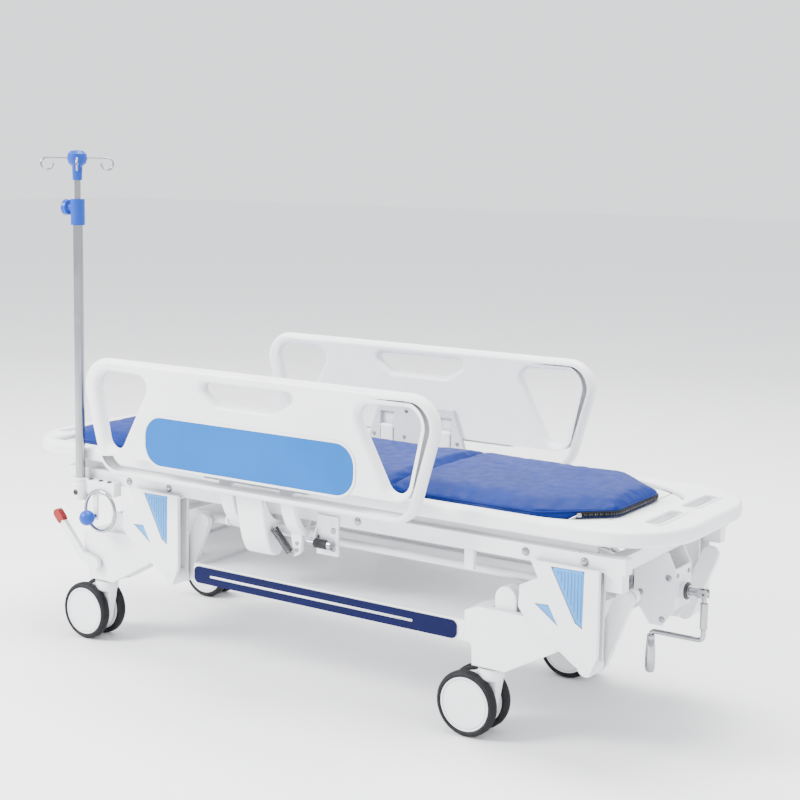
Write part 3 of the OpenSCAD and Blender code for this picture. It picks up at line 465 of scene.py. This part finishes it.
rail_outer = hull([(mid_x + s * 0.452, shell_high.z - 0.072, 0.072) for s in (-1, 1)]
                  + [(mid_x + s * 0.411, shell_low.z + 0.070, 0.070) for s in (-1, 1)], 14)
rail_ends = [hull([(mid_x + s * 0.440, shell_high.z - 0.071, 0.040),
                   (mid_x + s * 0.345, shell_high.z - 0.062, 0.028),
                   (mid_x + s * 0.421, shell_low.z + 0.100, 0.033)], 12) for s in (-1, 1)]
rail_grip = hull([(mid_x + s * 0.122, shell_high.z - 0.043, 0.012) for s in (-1, 1)]
                 + [(mid_x + s * 0.084, shell_high.z - 0.060, 0.018) for s in (-1, 1)], 10)

for side, s in SIDES:
    low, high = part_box("rail_shell_" + side)
    shell = slab("rail_" + side, rail_outer, rail_ends + [rail_grip], low.y, high.y, 0.0155,
                 "white_plastic", "rail_" + side, "XZ", rim_steps=6)
    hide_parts("rail_shell_" + side)
    panel_low, panel_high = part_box("rail_panel_" + side)
    face = high.y if s > 0 else low.y
    bezel_low, bezel_high = sorted((face - s * 0.001, face + s * 0.0022))
    panel = round_rectangle(panel_low.x, panel_high.x, panel_low.z, panel_high.z, 0.0495, 12)
    frame_line = round_rectangle(panel_low.x - 0.006, panel_high.x + 0.006,
                                 panel_low.z - 0.006, panel_high.z + 0.006, 0.055, 12)
    slab("rail_bezel_" + side, frame_line, [panel], bezel_low, bezel_high, 0.001,
         "white_plastic", "rail_" + side, "XZ")
    cover_low, cover_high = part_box("rail_cover_" + side)
    inner = s * 0.3355
    for x in (-0.135, -0.035, 0.035, 0.135):
        bolt(f"cover_bolt_{side}_{int(x * 1000)}", (mid_x + x, inner, cover_low.z + 0.014), (0, -s, 0),
             0.0045, "rail_" + side)
    for x in (-0.098, 0.098):
        bolt(f"cover_top_bolt_{side}_{int(x * 1000)}", (mid_x + x * 0.3, inner, cover_high.z - 0.016),
             (0, -s, 0), 0.0045, "rail_" + side)


# ------------------------------------------------------------------ mattress

pad_low, pad_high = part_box("mattress_back")
foot_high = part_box("mattress_foot")[1]
joints = {joint["name"]: joint for joint in frame["record"]["behaviour"]["joints"]}
fold_x = joints["backrest_fold"]["pos_m"][0]
pad_z = pad_low.z
pad_half = pad_high.y
# The four cut corners: how far each runs along the pad, and the half width left at the end
foot_taper = 0.130
foot_half = 0.105
head_crop = 0.082
head_half = 0.150
pad_outline = round_polygon(
    [(pad_low.x, -head_half), (pad_low.x + head_crop, -pad_half),
     (foot_high.x - foot_taper, -pad_half), (foot_high.x, -foot_half),
     (foot_high.x, foot_half), (foot_high.x - foot_taper, pad_half),
     (pad_low.x + head_crop, pad_half), (pad_low.x, head_half)],
    0.018, 6)


def half_width(x):
    """Half of the pad's width at a place along it."""
    best = 0
    for (x0, y0), (x1, y1) in zip(pad_outline, pad_outline[1:] + pad_outline[:1]):
        if min(x0, x1) - 1e-9 <= x <= max(x0, x1) + 1e-9:
            t = 0 if abs(x1 - x0) < 1e-9 else (x - x0) / (x1 - x0)
            best = max(best, abs(y0 + (y1 - y0) * t))
    return best


def edge_distance(x, y):
    """How far a point of the pad lies inside its outline."""
    y = abs(y)
    taper = Vector((foot_taper, pad_half - foot_half)).normalized()
    crop = Vector((head_crop, pad_half - head_half)).normalized()
    return max(0, min(pad_half - y, foot_high.x - x, x - pad_low.x,
                      (foot_high.x - x) * taper.y + (foot_half - y) * taper.x,
                      (x - pad_low.x) * crop.y + (head_half - y) * crop.x))


def spaced(low, high, count, fine, extra=()):
    """Places between two ends that crowd together near the ends and near the extra places."""
    places = [low + (high - low) * i / count for i in range(count + 1)]
    for end in (low, high):
        inward = 1 if end == low else -1
        places += [end + inward * v for v in fine]
    for centre in extra:
        places += [centre + v * k for v in fine for k in (-1, 1)] + [centre]
    places = sorted(places)
    kept = [places[0]]
    for place in places[1:]:
        if place - kept[-1] > 0.0008:
            kept.append(place)
    kept[-1] = high
    return kept


def pad_top(x, y):
    """Height of the cover before the simulation: a round edge, a low crown, the fold and its puckers."""
    d = edge_distance(x, y)
    r = 0.009
    z = 0.015 + (math.sqrt(r * r - (r - d) ** 2) if d < r else r)
    z += 0.015 * (1 - math.exp(-d / 0.050))
    crease = math.exp(-((x - fold_x) / 0.007) ** 2)
    z -= 0.010 * crease - 0.0025 * math.exp(-((abs(x - fold_x) - 0.022) / 0.014) ** 2)
    pull = math.exp(-d / 0.030) * min(1, d / 0.006)
    ripple = noise.noise(Vector((x * 38, y * 38, 1.7))) * 0.0016
    ripple += noise.noise(Vector((x * 90, y * 90, 4.1))) * 0.0006
    broad = noise.noise(Vector((x * 7, y * 9, 8.3))) * 0.0018
    return pad_z + z + ripple * pull + broad * min(1, d / 0.03)


def build_mattress():
    """The closed cover: a top, a flat bottom and a band that bulges a little between them."""
    fine = (0.0012, 0.003, 0.0055, 0.009, 0.014, 0.021, 0.030)
    xs = spaced(pad_low.x, foot_high.x, 130, fine, (fold_x,))
    across = spaced(-1, 1, 36, [v / pad_half for v in fine])
    bm = bmesh.new()

    def grid(height):
        rows = []
        for x in xs:
            w = half_width(x)
            rows.append([bm.verts.new((x, w * t, height(x, w * t))) for t in across])
        return rows
    top = grid(pad_top)
    bottom = grid(lambda x, y: pad_z + 0.0006 + 0.0032 * math.exp(-edge_distance(x, y) / 0.006))
    for rows in (top, bottom):
        for a, b in zip(rows, rows[1:]):
            for k in range(len(across) - 1):
                bm.faces.new((a[k], a[k + 1], b[k + 1], b[k]))

    def ring(rows):
        return ([r[0] for r in rows] + rows[-1][1:] + [r[-1] for r in rows[-2::-1]] + rows[0][-2:0:-1])
    upper, lower = ring(top), ring(bottom)
    levels = 5
    rings = [upper]
    count = len(upper)
    for k in range(1, levels):
        t = k / levels
        made = []
        for i in range(count):
            a, b = upper[i].co, lower[i].co
            along = upper[(i + 1) % count].co - upper[i - 1].co
            out = Vector((along.y, -along.x, 0))
            out = out.normalized() if out.length > 1e-9 else Vector()
            bulge = 0.0035 * math.sin(math.pi * t) - 0.0010
            made.append(bm.verts.new(a.lerp(b, t) + out * bulge))
        rings.append(made)
    rings.append(lower)
    for first, second in zip(rings, rings[1:]):
        for i in range(count):
            n = (i + 1) % count
            bm.faces.new((first[i], first[n], second[n], second[i]))
    return bm


def simulate(obj, cap):
    """Blows the cover up against its own seams, then keeps each point within cap of where it started."""
    mesh = obj.data
    rest = [v.co.copy() for v in mesh.vertices]
    held = obj.vertex_groups.new(name="held")
    for v in mesh.vertices:
        d = edge_distance(v.co.x, v.co.y)
        near_fold = abs(v.co.x - fold_x) < 0.004
        if v.co.z < pad_z + 0.014 or d < 0.002 or near_fold:
            held.add([v.index], 1.0, "REPLACE")
    cloth_modifier = obj.modifiers.new("cover", "CLOTH")
    settings = cloth_modifier.settings
    settings.quality = 5
    settings.mass = 0.3
    settings.tension_stiffness = 12
    settings.compression_stiffness = 12
    settings.bending_stiffness = 0.4
    settings.use_pressure = True
    settings.uniform_pressure_force = 3.0
    settings.shrink_min = -0.012
    settings.vertex_group_mass = "held"
    settings.effector_weights.gravity = 0
    cloth_modifier.collision_settings.use_collision = False
    for number in range(1, 19):
        bpy.context.scene.frame_set(number)
    moved = obj.evaluated_get(bpy.context.evaluated_depsgraph_get()).to_mesh()
    places = [v.co.copy() for v in moved.vertices]
    obj.modifiers.remove(cloth_modifier)
    obj.vertex_groups.clear()
    for v, start, end in zip(mesh.vertices, rest, places):
        step = end - start
        if step.length > cap:
            step = step * (cap / step.length)
        v.co = start + step
    bpy.context.scene.frame_set(1)


def over_fold(obj):
    """Takes an object off its body and bakes its place into its mesh."""
    obj.parent = None
    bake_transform(obj)


mattress = mesh_from("mattress", build_mattress(), "mattress_blue", "frame", smooth=60)
simulate(mattress, 0.006)
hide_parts("mattress_back", "mattress_foot")
over_fold(mattress)

seam_path = []
for (x0, y0), (x1, y1) in zip(pad_outline, pad_outline[1:] + pad_outline[:1]):
    steps = max(1, int(math.dist((x0, y0), (x1, y1)) / 0.012))
    seam_path += [(x0 + (x1 - x0) * k / steps, y0 + (y1 - y0) * k / steps) for k in range(steps)]
for name, z in (("top", 0.0170), ("bottom", 0.0045)):
    piping = tube("piping_" + name, [(x, y, pad_z + z) for x, y in seam_path], 0.0019, "mattress_blue",
                  "frame", sides=8, closed=True)
    over_fold(piping)

# The zip runs round the foot end.
zip_reach = 0.073
zip_path = [(x, y) for x, y in seam_path if x > foot_high.x - zip_reach]
start = next(i for i in range(len(zip_path)) if math.dist(zip_path[i], zip_path[i - 1]) > 0.05)
zip_path = zip_path[start:] + zip_path[:start]


def ribbon(name, path, z0, z1, out, material, body):
    """A thin band that stands on a path, pushed outwards a little."""
    bm = bmesh.new()
    pairs = []
    for i, (x, y) in enumerate(path):
        a = Vector(path[max(0, i - 1)])
        b = Vector(path[min(len(path) - 1, i + 1)])
        along = (b - a).normalized()
        push = Vector((along.y, -along.x)) * out
        pairs.append([bm.verts.new((x + push.x * k, y + push.y * k, z))
                      for k, z in ((0.4, z0 - 0.001), (1, z0), (1, z1), (0.4, z1 + 0.001))])
    for first, second in zip(pairs, pairs[1:]):
        for k in range(3):
            bm.faces.new((first[k], first[k + 1], second[k + 1], second[k]))
    return mesh_from(name, bm, material, body)


ribbon("zip_tape", zip_path, pad_z + 0.0058, pad_z + 0.0150, 0.0046, "zip_black", "frame")
tooth_pitch = 0.0045
zip_z = pad_z + 0.0104
bm = bmesh.new()
for (x0, y0), (x1, y1) in zip(zip_path, zip_path[1:]):
    length = math.dist((x0, y0), (x1, y1))
    along = Vector((x1 - x0, y1 - y0)).normalized()
    out = Vector((along.y, -along.x))
    turned = Matrix(((along.x, out.x, 0, 0), (along.y, out.y, 0, 0), (0, 0, 1, 0), (0, 0, 0, 1)))
    for k in range(int(length / tooth_pitch)):
        centre = Vector((x0, y0)) + along * (k + 0.5) * tooth_pitch + out * 0.0048
        bmesh.ops.create_cube(bm, size=1, matrix=Matrix.Translation((centre.x, centre.y, zip_z)) @ turned
                              @ Matrix.Diagonal((0.0024, 0.0016, 0.0034 if k % 2 else 0.0044, 1)))
mesh_from("zip_teeth", bm, "black_metal", "frame")

slider = Vector((*zip_path[0], zip_z))
run = Vector((zip_path[1][0] - zip_path[0][0], zip_path[1][1] - zip_path[0][1], 0)).normalized()
push = Vector((run.y, -run.x, 0))
turned = Matrix(((run.x, push.x, 0, 0), (run.y, push.y, 0, 0), (0, 0, 1, 0), (0, 0, 0, 1)))
bm = bmesh.new()
for centre, size in ((slider + push * 0.0085, (0.011, 0.0060, 0.0085)),
                     (slider + push * 0.0115 - run * 0.004, (0.004, 0.0030, 0.0050))):
    bmesh.ops.create_cube(bm, size=1,
                          matrix=Matrix.Translation(centre) @ turned @ Matrix.Diagonal((*size, 1)))
bmesh.ops.bevel(bm, geom=bm.edges[:], offset=0.0008, segments=2, affect="EDGES")
mesh_from("zip_slider", bm, "chrome", "frame")
hang = slider + push * 0.0125 - run * 0.005
tube("zip_pull", [hang, hang - run * 0.006 + push * 0.002 - Vector((0, 0, 0.003)),
                  hang - run * 0.020 + push * 0.004 - Vector((0, 0, 0.008))], 0.0016, "chrome", "frame",
     sides=10, radii=[0.0012, 0.0026, 0.0019])


# ------------------------------------------------------------------ casters

SWIVEL_LEAD = 0.045
TYRE_WIDTH = 0.028
for end, side in CASTERS:
    key = f"{end}_{side}"
    stem_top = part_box("caster_body_" + key)[1].z
    tyre_low, tyre_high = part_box("caster_tyres_" + key)
    hub_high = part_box("caster_wheels_" + key)[1]
    wheel = (tyre_low + tyre_high) / 2
    radius = (tyre_high.z - tyre_low.z) / 2
    rim_r = hub_high.z - wheel.z
    half = (tyre_high.y - tyre_low.y) / 2
    swivel_x = wheel.x + SWIVEL_LEAD
    drum = hull([(swivel_x - 0.004, 0.134, 0.026), (wheel.x, wheel.z, rim_r - 0.003),
                 (swivel_x + 0.013, 0.141, 0.013)],
                20)
    arm = slab("caster_web_" + key, drum, [], wheel.y - 0.0140, wheel.y + 0.0140, 0.0045,
               "white_plastic", "swivel_" + key, "XZ")
    stem = lathe("caster_stem_" + key,
                 [(0, stem_top), (0.0125, stem_top), (0.0139, stem_top - 0.0015), (0.0139, 0.1612),
                  (0.0270, 0.1608), (0.0295, 0.159),
                  (0.0300, 0.1500), (0.0290, 0.138), (0.0240, 0.132), (0.0, 0.131)],
                 (swivel_x, wheel.y, 0), (0, 0, 1), "white_plastic", "swivel_" + key)
    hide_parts("caster_body_" + key)
    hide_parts("caster_body_" + key)
    for s in (near, far):
        outer = half
        inner = half - TYRE_WIDTH
        place = "out" if s > 0 else "in"
        hub = [(0, outer - 0.0032), (0.006, outer - 0.0033), (0.020, outer - 0.0036),
               (rim_r * 0.60, outer - 0.0040),
               (rim_r * 0.84, outer - 0.0034), (rim_r * 0.885, outer - 0.0030),
               (rim_r * 0.895, outer - 0.0045),
               (rim_r * 0.915, outer - 0.0045), (rim_r * 0.925, outer - 0.0026),
               (rim_r * 0.985, outer - 0.0022),
               (rim_r, outer - 0.0034), (rim_r, inner + 0.002), (rim_r * 0.9, inner + 0.001),
               (rim_r * 0.78, inner + 0.007), (0.018, inner + 0.004), (0.0062, inner + 0.001), (0.0062, 0)]
        disc = lathe(f"caster_hub_{key}_{place}", hub, wheel, (0, s, 0), "wheel_grey", "wheels_" + key,
                     sides=80)
        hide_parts("caster_wheels_" + key)
        tread = [(rim_r + 0.0001, inner + 0.002), (radius - 0.0085, inner + 0.0006),
                 (radius - 0.0040, inner + 0.0022),
                 (radius - 0.0012, inner + 0.0060), (radius, inner + 0.0105), (radius, outer - 0.0105),
                 (radius - 0.0012, outer - 0.0060), (radius - 0.0040, outer - 0.0022),
                 (radius - 0.0085, outer - 0.0002),
                 (rim_r + 0.0030, outer - 0.0002), (rim_r + 0.0020, outer - 0.0012),
                 (rim_r + 0.0001, outer - 0.0020)]
        ring = lathe(f"caster_tyre_{key}_{place}", tread, wheel, (0, s, 0), "tyre", "wheels_" + key,
                     sides=96, smooth=50)
        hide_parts("caster_tyres_" + key)


# ------------------------------------------------------------------ lift plates and base

foot_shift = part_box("v_plates_foot")[0].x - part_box("v_plates_head")[0].x
plate_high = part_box("v_plates_foot")[1]
plate_right = plate_high.x
plate_face = plate_high.y
plate_top = plate_high.z
insert_big = round_polygon([(plate_right - 0.113, plate_top - 0.0065),
                            (plate_right - 0.0345, plate_top - 0.0055),
                            (plate_right - 0.0365, plate_top - 0.1275),
                            (plate_right - 0.0525, plate_top - 0.1175)],
                           [0.012, 0.010, 0.007, 0.007], 6)
insert_small = round_polygon([(plate_right - 0.149, plate_top - 0.0925),
                              (plate_right - 0.118, plate_top - 0.0905),
                              (plate_right - 0.0935, plate_top - 0.131)], 0.007, 5)
RIBS = 8
for name, shift in (("foot", 0), ("head", -foot_shift)):
    for side, s in SIDES:
        for part, outline in (("big", insert_big), ("small", insert_small)):
            moved = [(x + shift, z) for x, z in outline]
            low, high = sorted((s * (plate_face - 0.006), s * (plate_face - 0.0018)))
            pane = slab(f"insert_{part}_{name}_{side}", moved, [], low, high, 0.0008, "sky_blue", "frame",
                        "XZ", rim_steps=2)
            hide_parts("v_inserts")
        left, right = plate_right - 0.097 + shift, plate_right - 0.042 + shift
        for i in range(RIBS):
            x = left + (right - left) * i / (RIBS - 1)
            depth = min(0.114, 0.022 + (x - left) * 1.87)
            y = s * (plate_face - 0.0019)
            tube(f"insert_rib_{name}_{side}_{i}", [(x, y, plate_top - 0.014), (x, y, plate_top - depth)],
                 0.0018, "sky_blue", "frame", sides=8)

trim_low, trim_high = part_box("base_trims")
for side, s in SIDES:
    face = s * trim_high.y
    y0, y1 = sorted((face, face + s * 0.0008))
    line = round_rectangle(trim_low.x + 0.052, trim_low.x + 0.655, trim_low.z + 0.0185, trim_low.z + 0.0245,
                           0.0025, 6)
    slab("trim_line_" + side, line, [], y0, y1, 0.0003, "white_plastic", "base", "XZ", rim_steps=1)

pin_low, pin_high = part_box("lever_pins")
for side, s in SIDES:
    for end, x in (("head", pin_low.x + 0.016), ("foot", pin_high.x - 0.016)):
        low, high = sorted((s * (pin_high.y - 0.004), s * (pin_high.y + 0.004)))
        cover = hull([(x, 0.325, 0.027), (x - 0.008, 0.290, 0.019), (x + 0.012, 0.290, 0.015)], 12)
        slab(f"pivot_cover_{end}_{side}", cover, [], low, high, 0.0035, "white_plastic", "base", "XZ")


# ------------------------------------------------------------------ rail catches

def coil(name, start, end, radius, turns, wire, material, body):
    """A spring of round wire between two points."""
    start, end = Vector(start), Vector(end)
    axis = (end - start).normalized()
    side = axis.orthogonal().normalized()
    up = axis.cross(side)
    steps = int(turns * 14)
    path = []
    for i in range(steps + 1):
        a = 2 * math.pi * turns * i / steps
        path.append(start.lerp(end, i / steps) + (side * math.cos(a) + up * math.sin(a)) * radius)
    return tube(name, path, wire, material, body, sides=8)


def bezier(a, b, c, d, steps):
    """Points of a cubic curve."""
    a, b, c, d = Vector(a), Vector(b), Vector(c), Vector(d)
    return [a * (1 - t) ** 3 + b * 3 * t * (1 - t) ** 2 + c * 3 * t * t * (1 - t) + d * t ** 3
            for t in (i / steps for i in range(steps + 1))]


def band(path, half):
    """The outline of a strip of even width along a path in a plane, with round ends."""
    left, right = [], []
    for i, here in enumerate(path):
        along = (path[min(i + 1, len(path) - 1)] - path[max(i - 1, 0)]).normalized()
        out = Vector((-along.y, along.x)) * half
        left.append(here + out)
        right.append(here - out)

    def cap(centre, start):
        arm = start - centre
        return [centre + Matrix.Rotation(-math.pi * k / 10, 2) @ arm for k in range(1, 10)]
    points = left + cap(path[-1], left[-1]) + right[::-1] + cap(path[0], right[0])
    return [tuple(p) for p in points]


latch_y = 0.294
latch_z = 0.382
arm_top = (0.340, 0.545)
arm_foot = (0.276, 0.395)
ARM_X = 0.092
for side, s in SIDES:
    latch_low, latch_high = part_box("rail_latch_tube_" + side)
    y = s * latch_y
    coil("latch_spring_" + side, (latch_low.x + 0.001, y, latch_z), (latch_high.x - 0.001, y, latch_z),
         0.0102, 9, 0.0011, "black_metal", "frame")
    low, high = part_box("rail_arms_" + side)
    body = "arms_" + side
    curve = [Vector((s * y, z)) for y, z in bezier(arm_top, (0.345, 0.462), (0.318, 0.402), arm_foot, 22)]
    for end, x in (("head", mid_x - ARM_X), ("foot", mid_x + ARM_X)):
        arm = slab(f"rail_arm_{end}_{side}", band(curve, 0.0078), [], x - 0.0200, x + 0.0200, 0.0035,
                   "white_paint", body, "YZ", rim_steps=3)
        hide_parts("rail_arms_" + side)
        for dx in (-0.0202, 0.0202):
            bolt(f"arm_foot_bolt_{end}_{side}_{'a' if dx > 0 else 'b'}",
                 (x + dx, s * arm_foot[0], arm_foot[1]),
                 (1 if dx > 0 else -1, 0, 0), 0.0075, body)
    pipe = tube("arm_tube_" + side, [(low.x + 0.009, s * arm_foot[0], arm_foot[1]),
                                     (high.x - 0.009, s * arm_foot[0], arm_foot[1])], 0.0109, "white_paint",
                body, sides=32)
    pin = tube("arm_pin_" + side,
               [(low.x, s * arm_foot[0], arm_foot[1]), (high.x, s * arm_foot[0], arm_foot[1])],
               0.0069, "steel", body, sides=24)
    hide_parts("rail_arms_" + side)
    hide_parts("rail_arms_" + side)
    profile = ((0.344, 0.480), (0.334, 0.480), (0.300, 0.424), (0.264, 0.412), (0.258, 0.345),
               (0.268, 0.330), (0.297, 0.330), (0.318, 0.362), (0.334, 0.424))
    shroud = round_polygon([(s * y, z) for y, z in profile],
                           [0.003, 0.003, 0.02, 0.01, 0.012, 0.010, 0.012, 0.03, 0.03], 6)
    slab("arm_shroud_" + side, shroud, [], mid_x - 0.064, mid_x + 0.0175, 0.005, "white_plastic", "frame", "YZ")
    top_hook = Vector((mid_x + 0.026, s * 0.306, 0.402))
    low_hook = Vector((mid_x + 0.074, s * 0.306, 0.352))
    coil("return_spring_" + side, top_hook, low_hook, 0.0088, 15, 0.0014, "black_metal", body)
    tube("return_spring_pin_" + side, [top_hook - Vector((0.006, 0, 0)), top_hook, low_hook,
                                       low_hook + Vector((0.010, 0, -0.004))], 0.0026, "steel", body,
         sides=10)
    lug = round_polygon([(mid_x + 0.070, 0.398), (mid_x + 0.104, 0.398), (mid_x + 0.100, 0.352),
                         (mid_x + 0.078, 0.338)],
                        0.009, 5)
    y0, y1 = sorted((s * 0.286, s * 0.300))
    slab("spring_lug_" + side, lug, [], y0, y1, 0.002, "white_paint", body, "XZ")
    for z in (0.358, 0.374):
        bolt(f"lug_bolt_{side}_{round(z * 1000)}", (mid_x + 0.090, s * 0.300, z), (0, s, 0), 0.0045, body)


# ------------------------------------------------------------------ pole and crank

pole_low, pole_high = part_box("iv_tube")
pole = (pole_low + pole_high) / 2
hook_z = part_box("iv_hooks")[1].z - 0.0025
for i in range(4):
    turn = math.radians(45 + 90 * i)
    tip = Vector((math.cos(turn), math.sin(turn), 0)) * 0.060
    tip = Vector((pole.x + tip.x, pole.y + tip.y, hook_z - 0.015))
    lathe(f"hook_ball_{i}", [(0, -0.004), (0.0028, -0.0028), (0.0039, 0), (0.0028, 0.0028), (0, 0.004)],
          tip, (0, 0, 1), "chrome", "iv_top", sides=16, smooth=80)
lathe("pole_foot_ring",
      [(0.0128, 0), (0.0165, 0), (0.0175, 0.002), (0.0175, 0.007), (0.0160, 0.009), (0.0128, 0.009)],
      (pole.x, pole.y, pole_low.z + 0.038), (0, 0, 1), "white_plastic", "frame", sides=40)


# The folding crank: a thick upper arm, then one bent bar to the grip.
crank_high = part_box("crank_arm")[1]
crank_x = crank_high.x - 0.008
crank_z = crank_high.z - 0.008
grip_low, grip_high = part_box("crank_grip")
grip_x = (grip_low.x + grip_high.x) / 2
elbow_z = grip_high.z + 0.008


def bend(corner, before, after, radius, steps=8):
    """Points of a round corner between two straight runs."""
    corner = Vector(corner)
    a = corner + (Vector(before) - corner).normalized() * radius
    b = corner + (Vector(after) - corner).normalized() * radius
    return [a * (1 - t) ** 2 + corner * 2 * t * (1 - t) + b * t * t
            for t in (k / steps for k in range(steps + 1))]


knuckle = lathe("crank_knuckle",
                [(0, -0.0049), (0.0072, -0.0049), (0.0080, -0.004), (0.0080, 0.004), (0.0072, 0.0049),
                 (0, 0.0049)],
                (crank_x, 0, crank_z), (0, 1, 0), "chrome", "handle", sides=32)
neck = tube("crank_neck", [(crank_x, 0, crank_z - 0.002), (crank_x, 0, crank_z - 0.022)], 0.0048, "chrome",
            "handle", sides=24)
upper_arm = lathe("crank_upper",
                  [(0, 0.0), (0.0070, 0.0), (0.0085, 0.0015), (0.0085, 0.058), (0.0070, 0.0600),
                   (0.0062, 0.0610), (0, 0.0610)],
                  (crank_x, 0, crank_z - 0.0205), (0, 0, -1), "chrome", "handle", sides=32)
route = [Vector((crank_x, 0, crank_z - 0.080))]
route += bend((crank_x, 0, elbow_z), (crank_x, 0, crank_z), (grip_x, 0, elbow_z), 0.014)
route += bend((grip_x, 0, elbow_z), (crank_x, 0, elbow_z), (grip_x, 0, grip_low.z), 0.012)
route += [Vector((grip_x, 0, grip_low.z + 0.006))]
crank_bar = tube("crank_bar", route, 0.0056, "chrome", "handle", sides=24,
                 radii=[0.0056] * (len(route) - 3) + [0.0050, 0.0040, 0.0040])
for piece in (knuckle, neck, upper_arm, crank_bar):
    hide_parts("crank_arm")
length = grip_high.z - grip_low.z
grip = lathe("crank_handle", [(0.0042, 0), (0.0080, 0.0004), (0.0090, 0.0030), (0.0094, length * 0.10),
                              (0.0086, length * 0.12), (0.0094, length * 0.14), (0.0112, length * 0.42),
                              (0.0118, length * 0.62), (0.0114, length * 0.88), (0.0092, length * 0.97),
                              (0.0050, length), (0, length)],
             (grip_x, 0, grip_high.z), (0, 0, -1), "chrome", "grip", sides=40)
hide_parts("crank_grip")
lathe("crank_washer",
      [(0.0146, 0), (0.0185, 0), (0.0195, 0.001), (0.0195, 0.0045), (0.0185, 0.0055), (0.0146, 0.0055)],
      (mid_x + 0.942, 0, crank_z), (1, 0, 0), "black_metal", "frame", sides=40)
bracket_low, bracket_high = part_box("crank_bracket")
for side, s in SIDES:
    y = bracket_low.y if s == near else bracket_high.y
    for x, z in ((0.905, 0.276), (0.918, 0.372), (0.852, 0.330)):
        bolt(f"bracket_bolt_{side}_{round(x * 1000)}", (mid_x + x, y, z), (0, s, 0), 0.006, "frame",
             "chrome")
for side, s in SIDES:
    bolt("bracket_face_bolt_" + side, (bracket_high.x - 0.009, s * 0.030, 0.376), (1, 0, 0), 0.005,
         "frame", "chrome")

# Bolts of the pole's bracket and of its clamp
iv_low, iv_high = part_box("iv_bracket")
for dx in (0.075, 0.110, 0.140):
    place = (iv_low.x + dx, (iv_low.y + iv_high.y) / 2, iv_high.z)
    bolt(f"pole_bracket_bolt_{round(dx * 1000)}", place, (0, 0, 1), 0.0055, "frame", "black_metal")
clamp_place = (pole.x, pole.y - 0.0188, pole_low.z + 0.010)
bolt("pole_clamp_bolt", clamp_place, (0, -1, 0), 0.006, "frame", "black_metal")


# ------------------------------------------------------------------ stage, light and camera

def plane(name, corners, colour, roughness):
    bm = bmesh.new()
    bm.faces.new([bm.verts.new(c) for c in corners])
    mesh = bpy.data.meshes.new(name)
    bm.to_mesh(mesh)
    bm.free()
    obj = bpy.data.objects.new(name, mesh)
    bpy.context.scene.collection.objects.link(obj)
    material, tree, shader = new_material(name)
    shader.inputs["Base Color"].default_value = (*colour, 1)
    shader.inputs["Roughness"].default_value = roughness
    obj.data.materials.append(material)
    return obj


plane("floor", [(-30, -30, 0), (30, -30, 0), (30, 30, 0), (-30, 30, 0)], (0.93, 0.93, 0.935), 0.75)

world = bpy.data.worlds.new("studio")
bpy.context.scene.world = world
world.use_nodes = True
background = world.node_tree.nodes["Background"]
background.inputs["Color"].default_value = (0.95, 0.97, 1.0, 1)
background.inputs["Strength"].default_value = 1.7


def area_light(name, place, target, size, power, colour=(1, 1, 1)):
    data = bpy.data.lights.new(name, "AREA")
    data.shape = "RECTANGLE"
    data.size, data.size_y = size
    data.energy = power
    data.color = colour
    obj = bpy.data.objects.new(name, data)
    bpy.context.scene.collection.objects.link(obj)
    obj.location = place
    obj.rotation_euler = (Vector(target) - Vector(place)).to_track_quat("-Z", "Y").to_euler()


area_light("key", (-3.2, -3.6, 3.6), (0, 0, 0.4), (2.0, 2.0), 620)
area_light("fill", (4.2, -2.6, 2.2), (0.3, 0, 0.4), (2.4, 2.0), 20)
area_light("top", (0.2, 0.6, 4.6), (0, 0, 0.4), (3.0, 2.2), 420)
area_light("back", (-1.5, 4.0, 2.8), (0, 0, 0.5), (3.5, 2.0), 40)

# The camera stands ahead of the foot end on the near side, a little above the rails.
yaw, pitch, roll = (math.radians(v) for v in (33.895, 6.745, 0.789))
forward = Vector((-math.sin(yaw) * math.cos(pitch), math.cos(yaw) * math.cos(pitch), -math.sin(pitch)))
level = Vector((math.cos(yaw), math.sin(yaw), 0))
upright = level.cross(forward)
right = level * math.cos(roll) + upright * math.sin(roll)
over = upright * math.cos(roll) - level * math.sin(roll)
camera_data = bpy.data.cameras.new("camera")
camera_data.sensor_width = 36
camera_data.lens = 68.48
camera_data.shift_x = 0.0014
camera_data.shift_y = -0.078
camera = bpy.data.objects.new("camera", camera_data)
bpy.context.scene.collection.objects.link(camera)
camera.matrix_world = Matrix((
    (right.x, over.x, -forward.x, 2.1702), (right.y, over.y, -forward.y, -3.0714),
    (right.z, over.z, -forward.z, 1.2777), (0, 0, 0, 1)))
bpy.context.scene.camera = camera
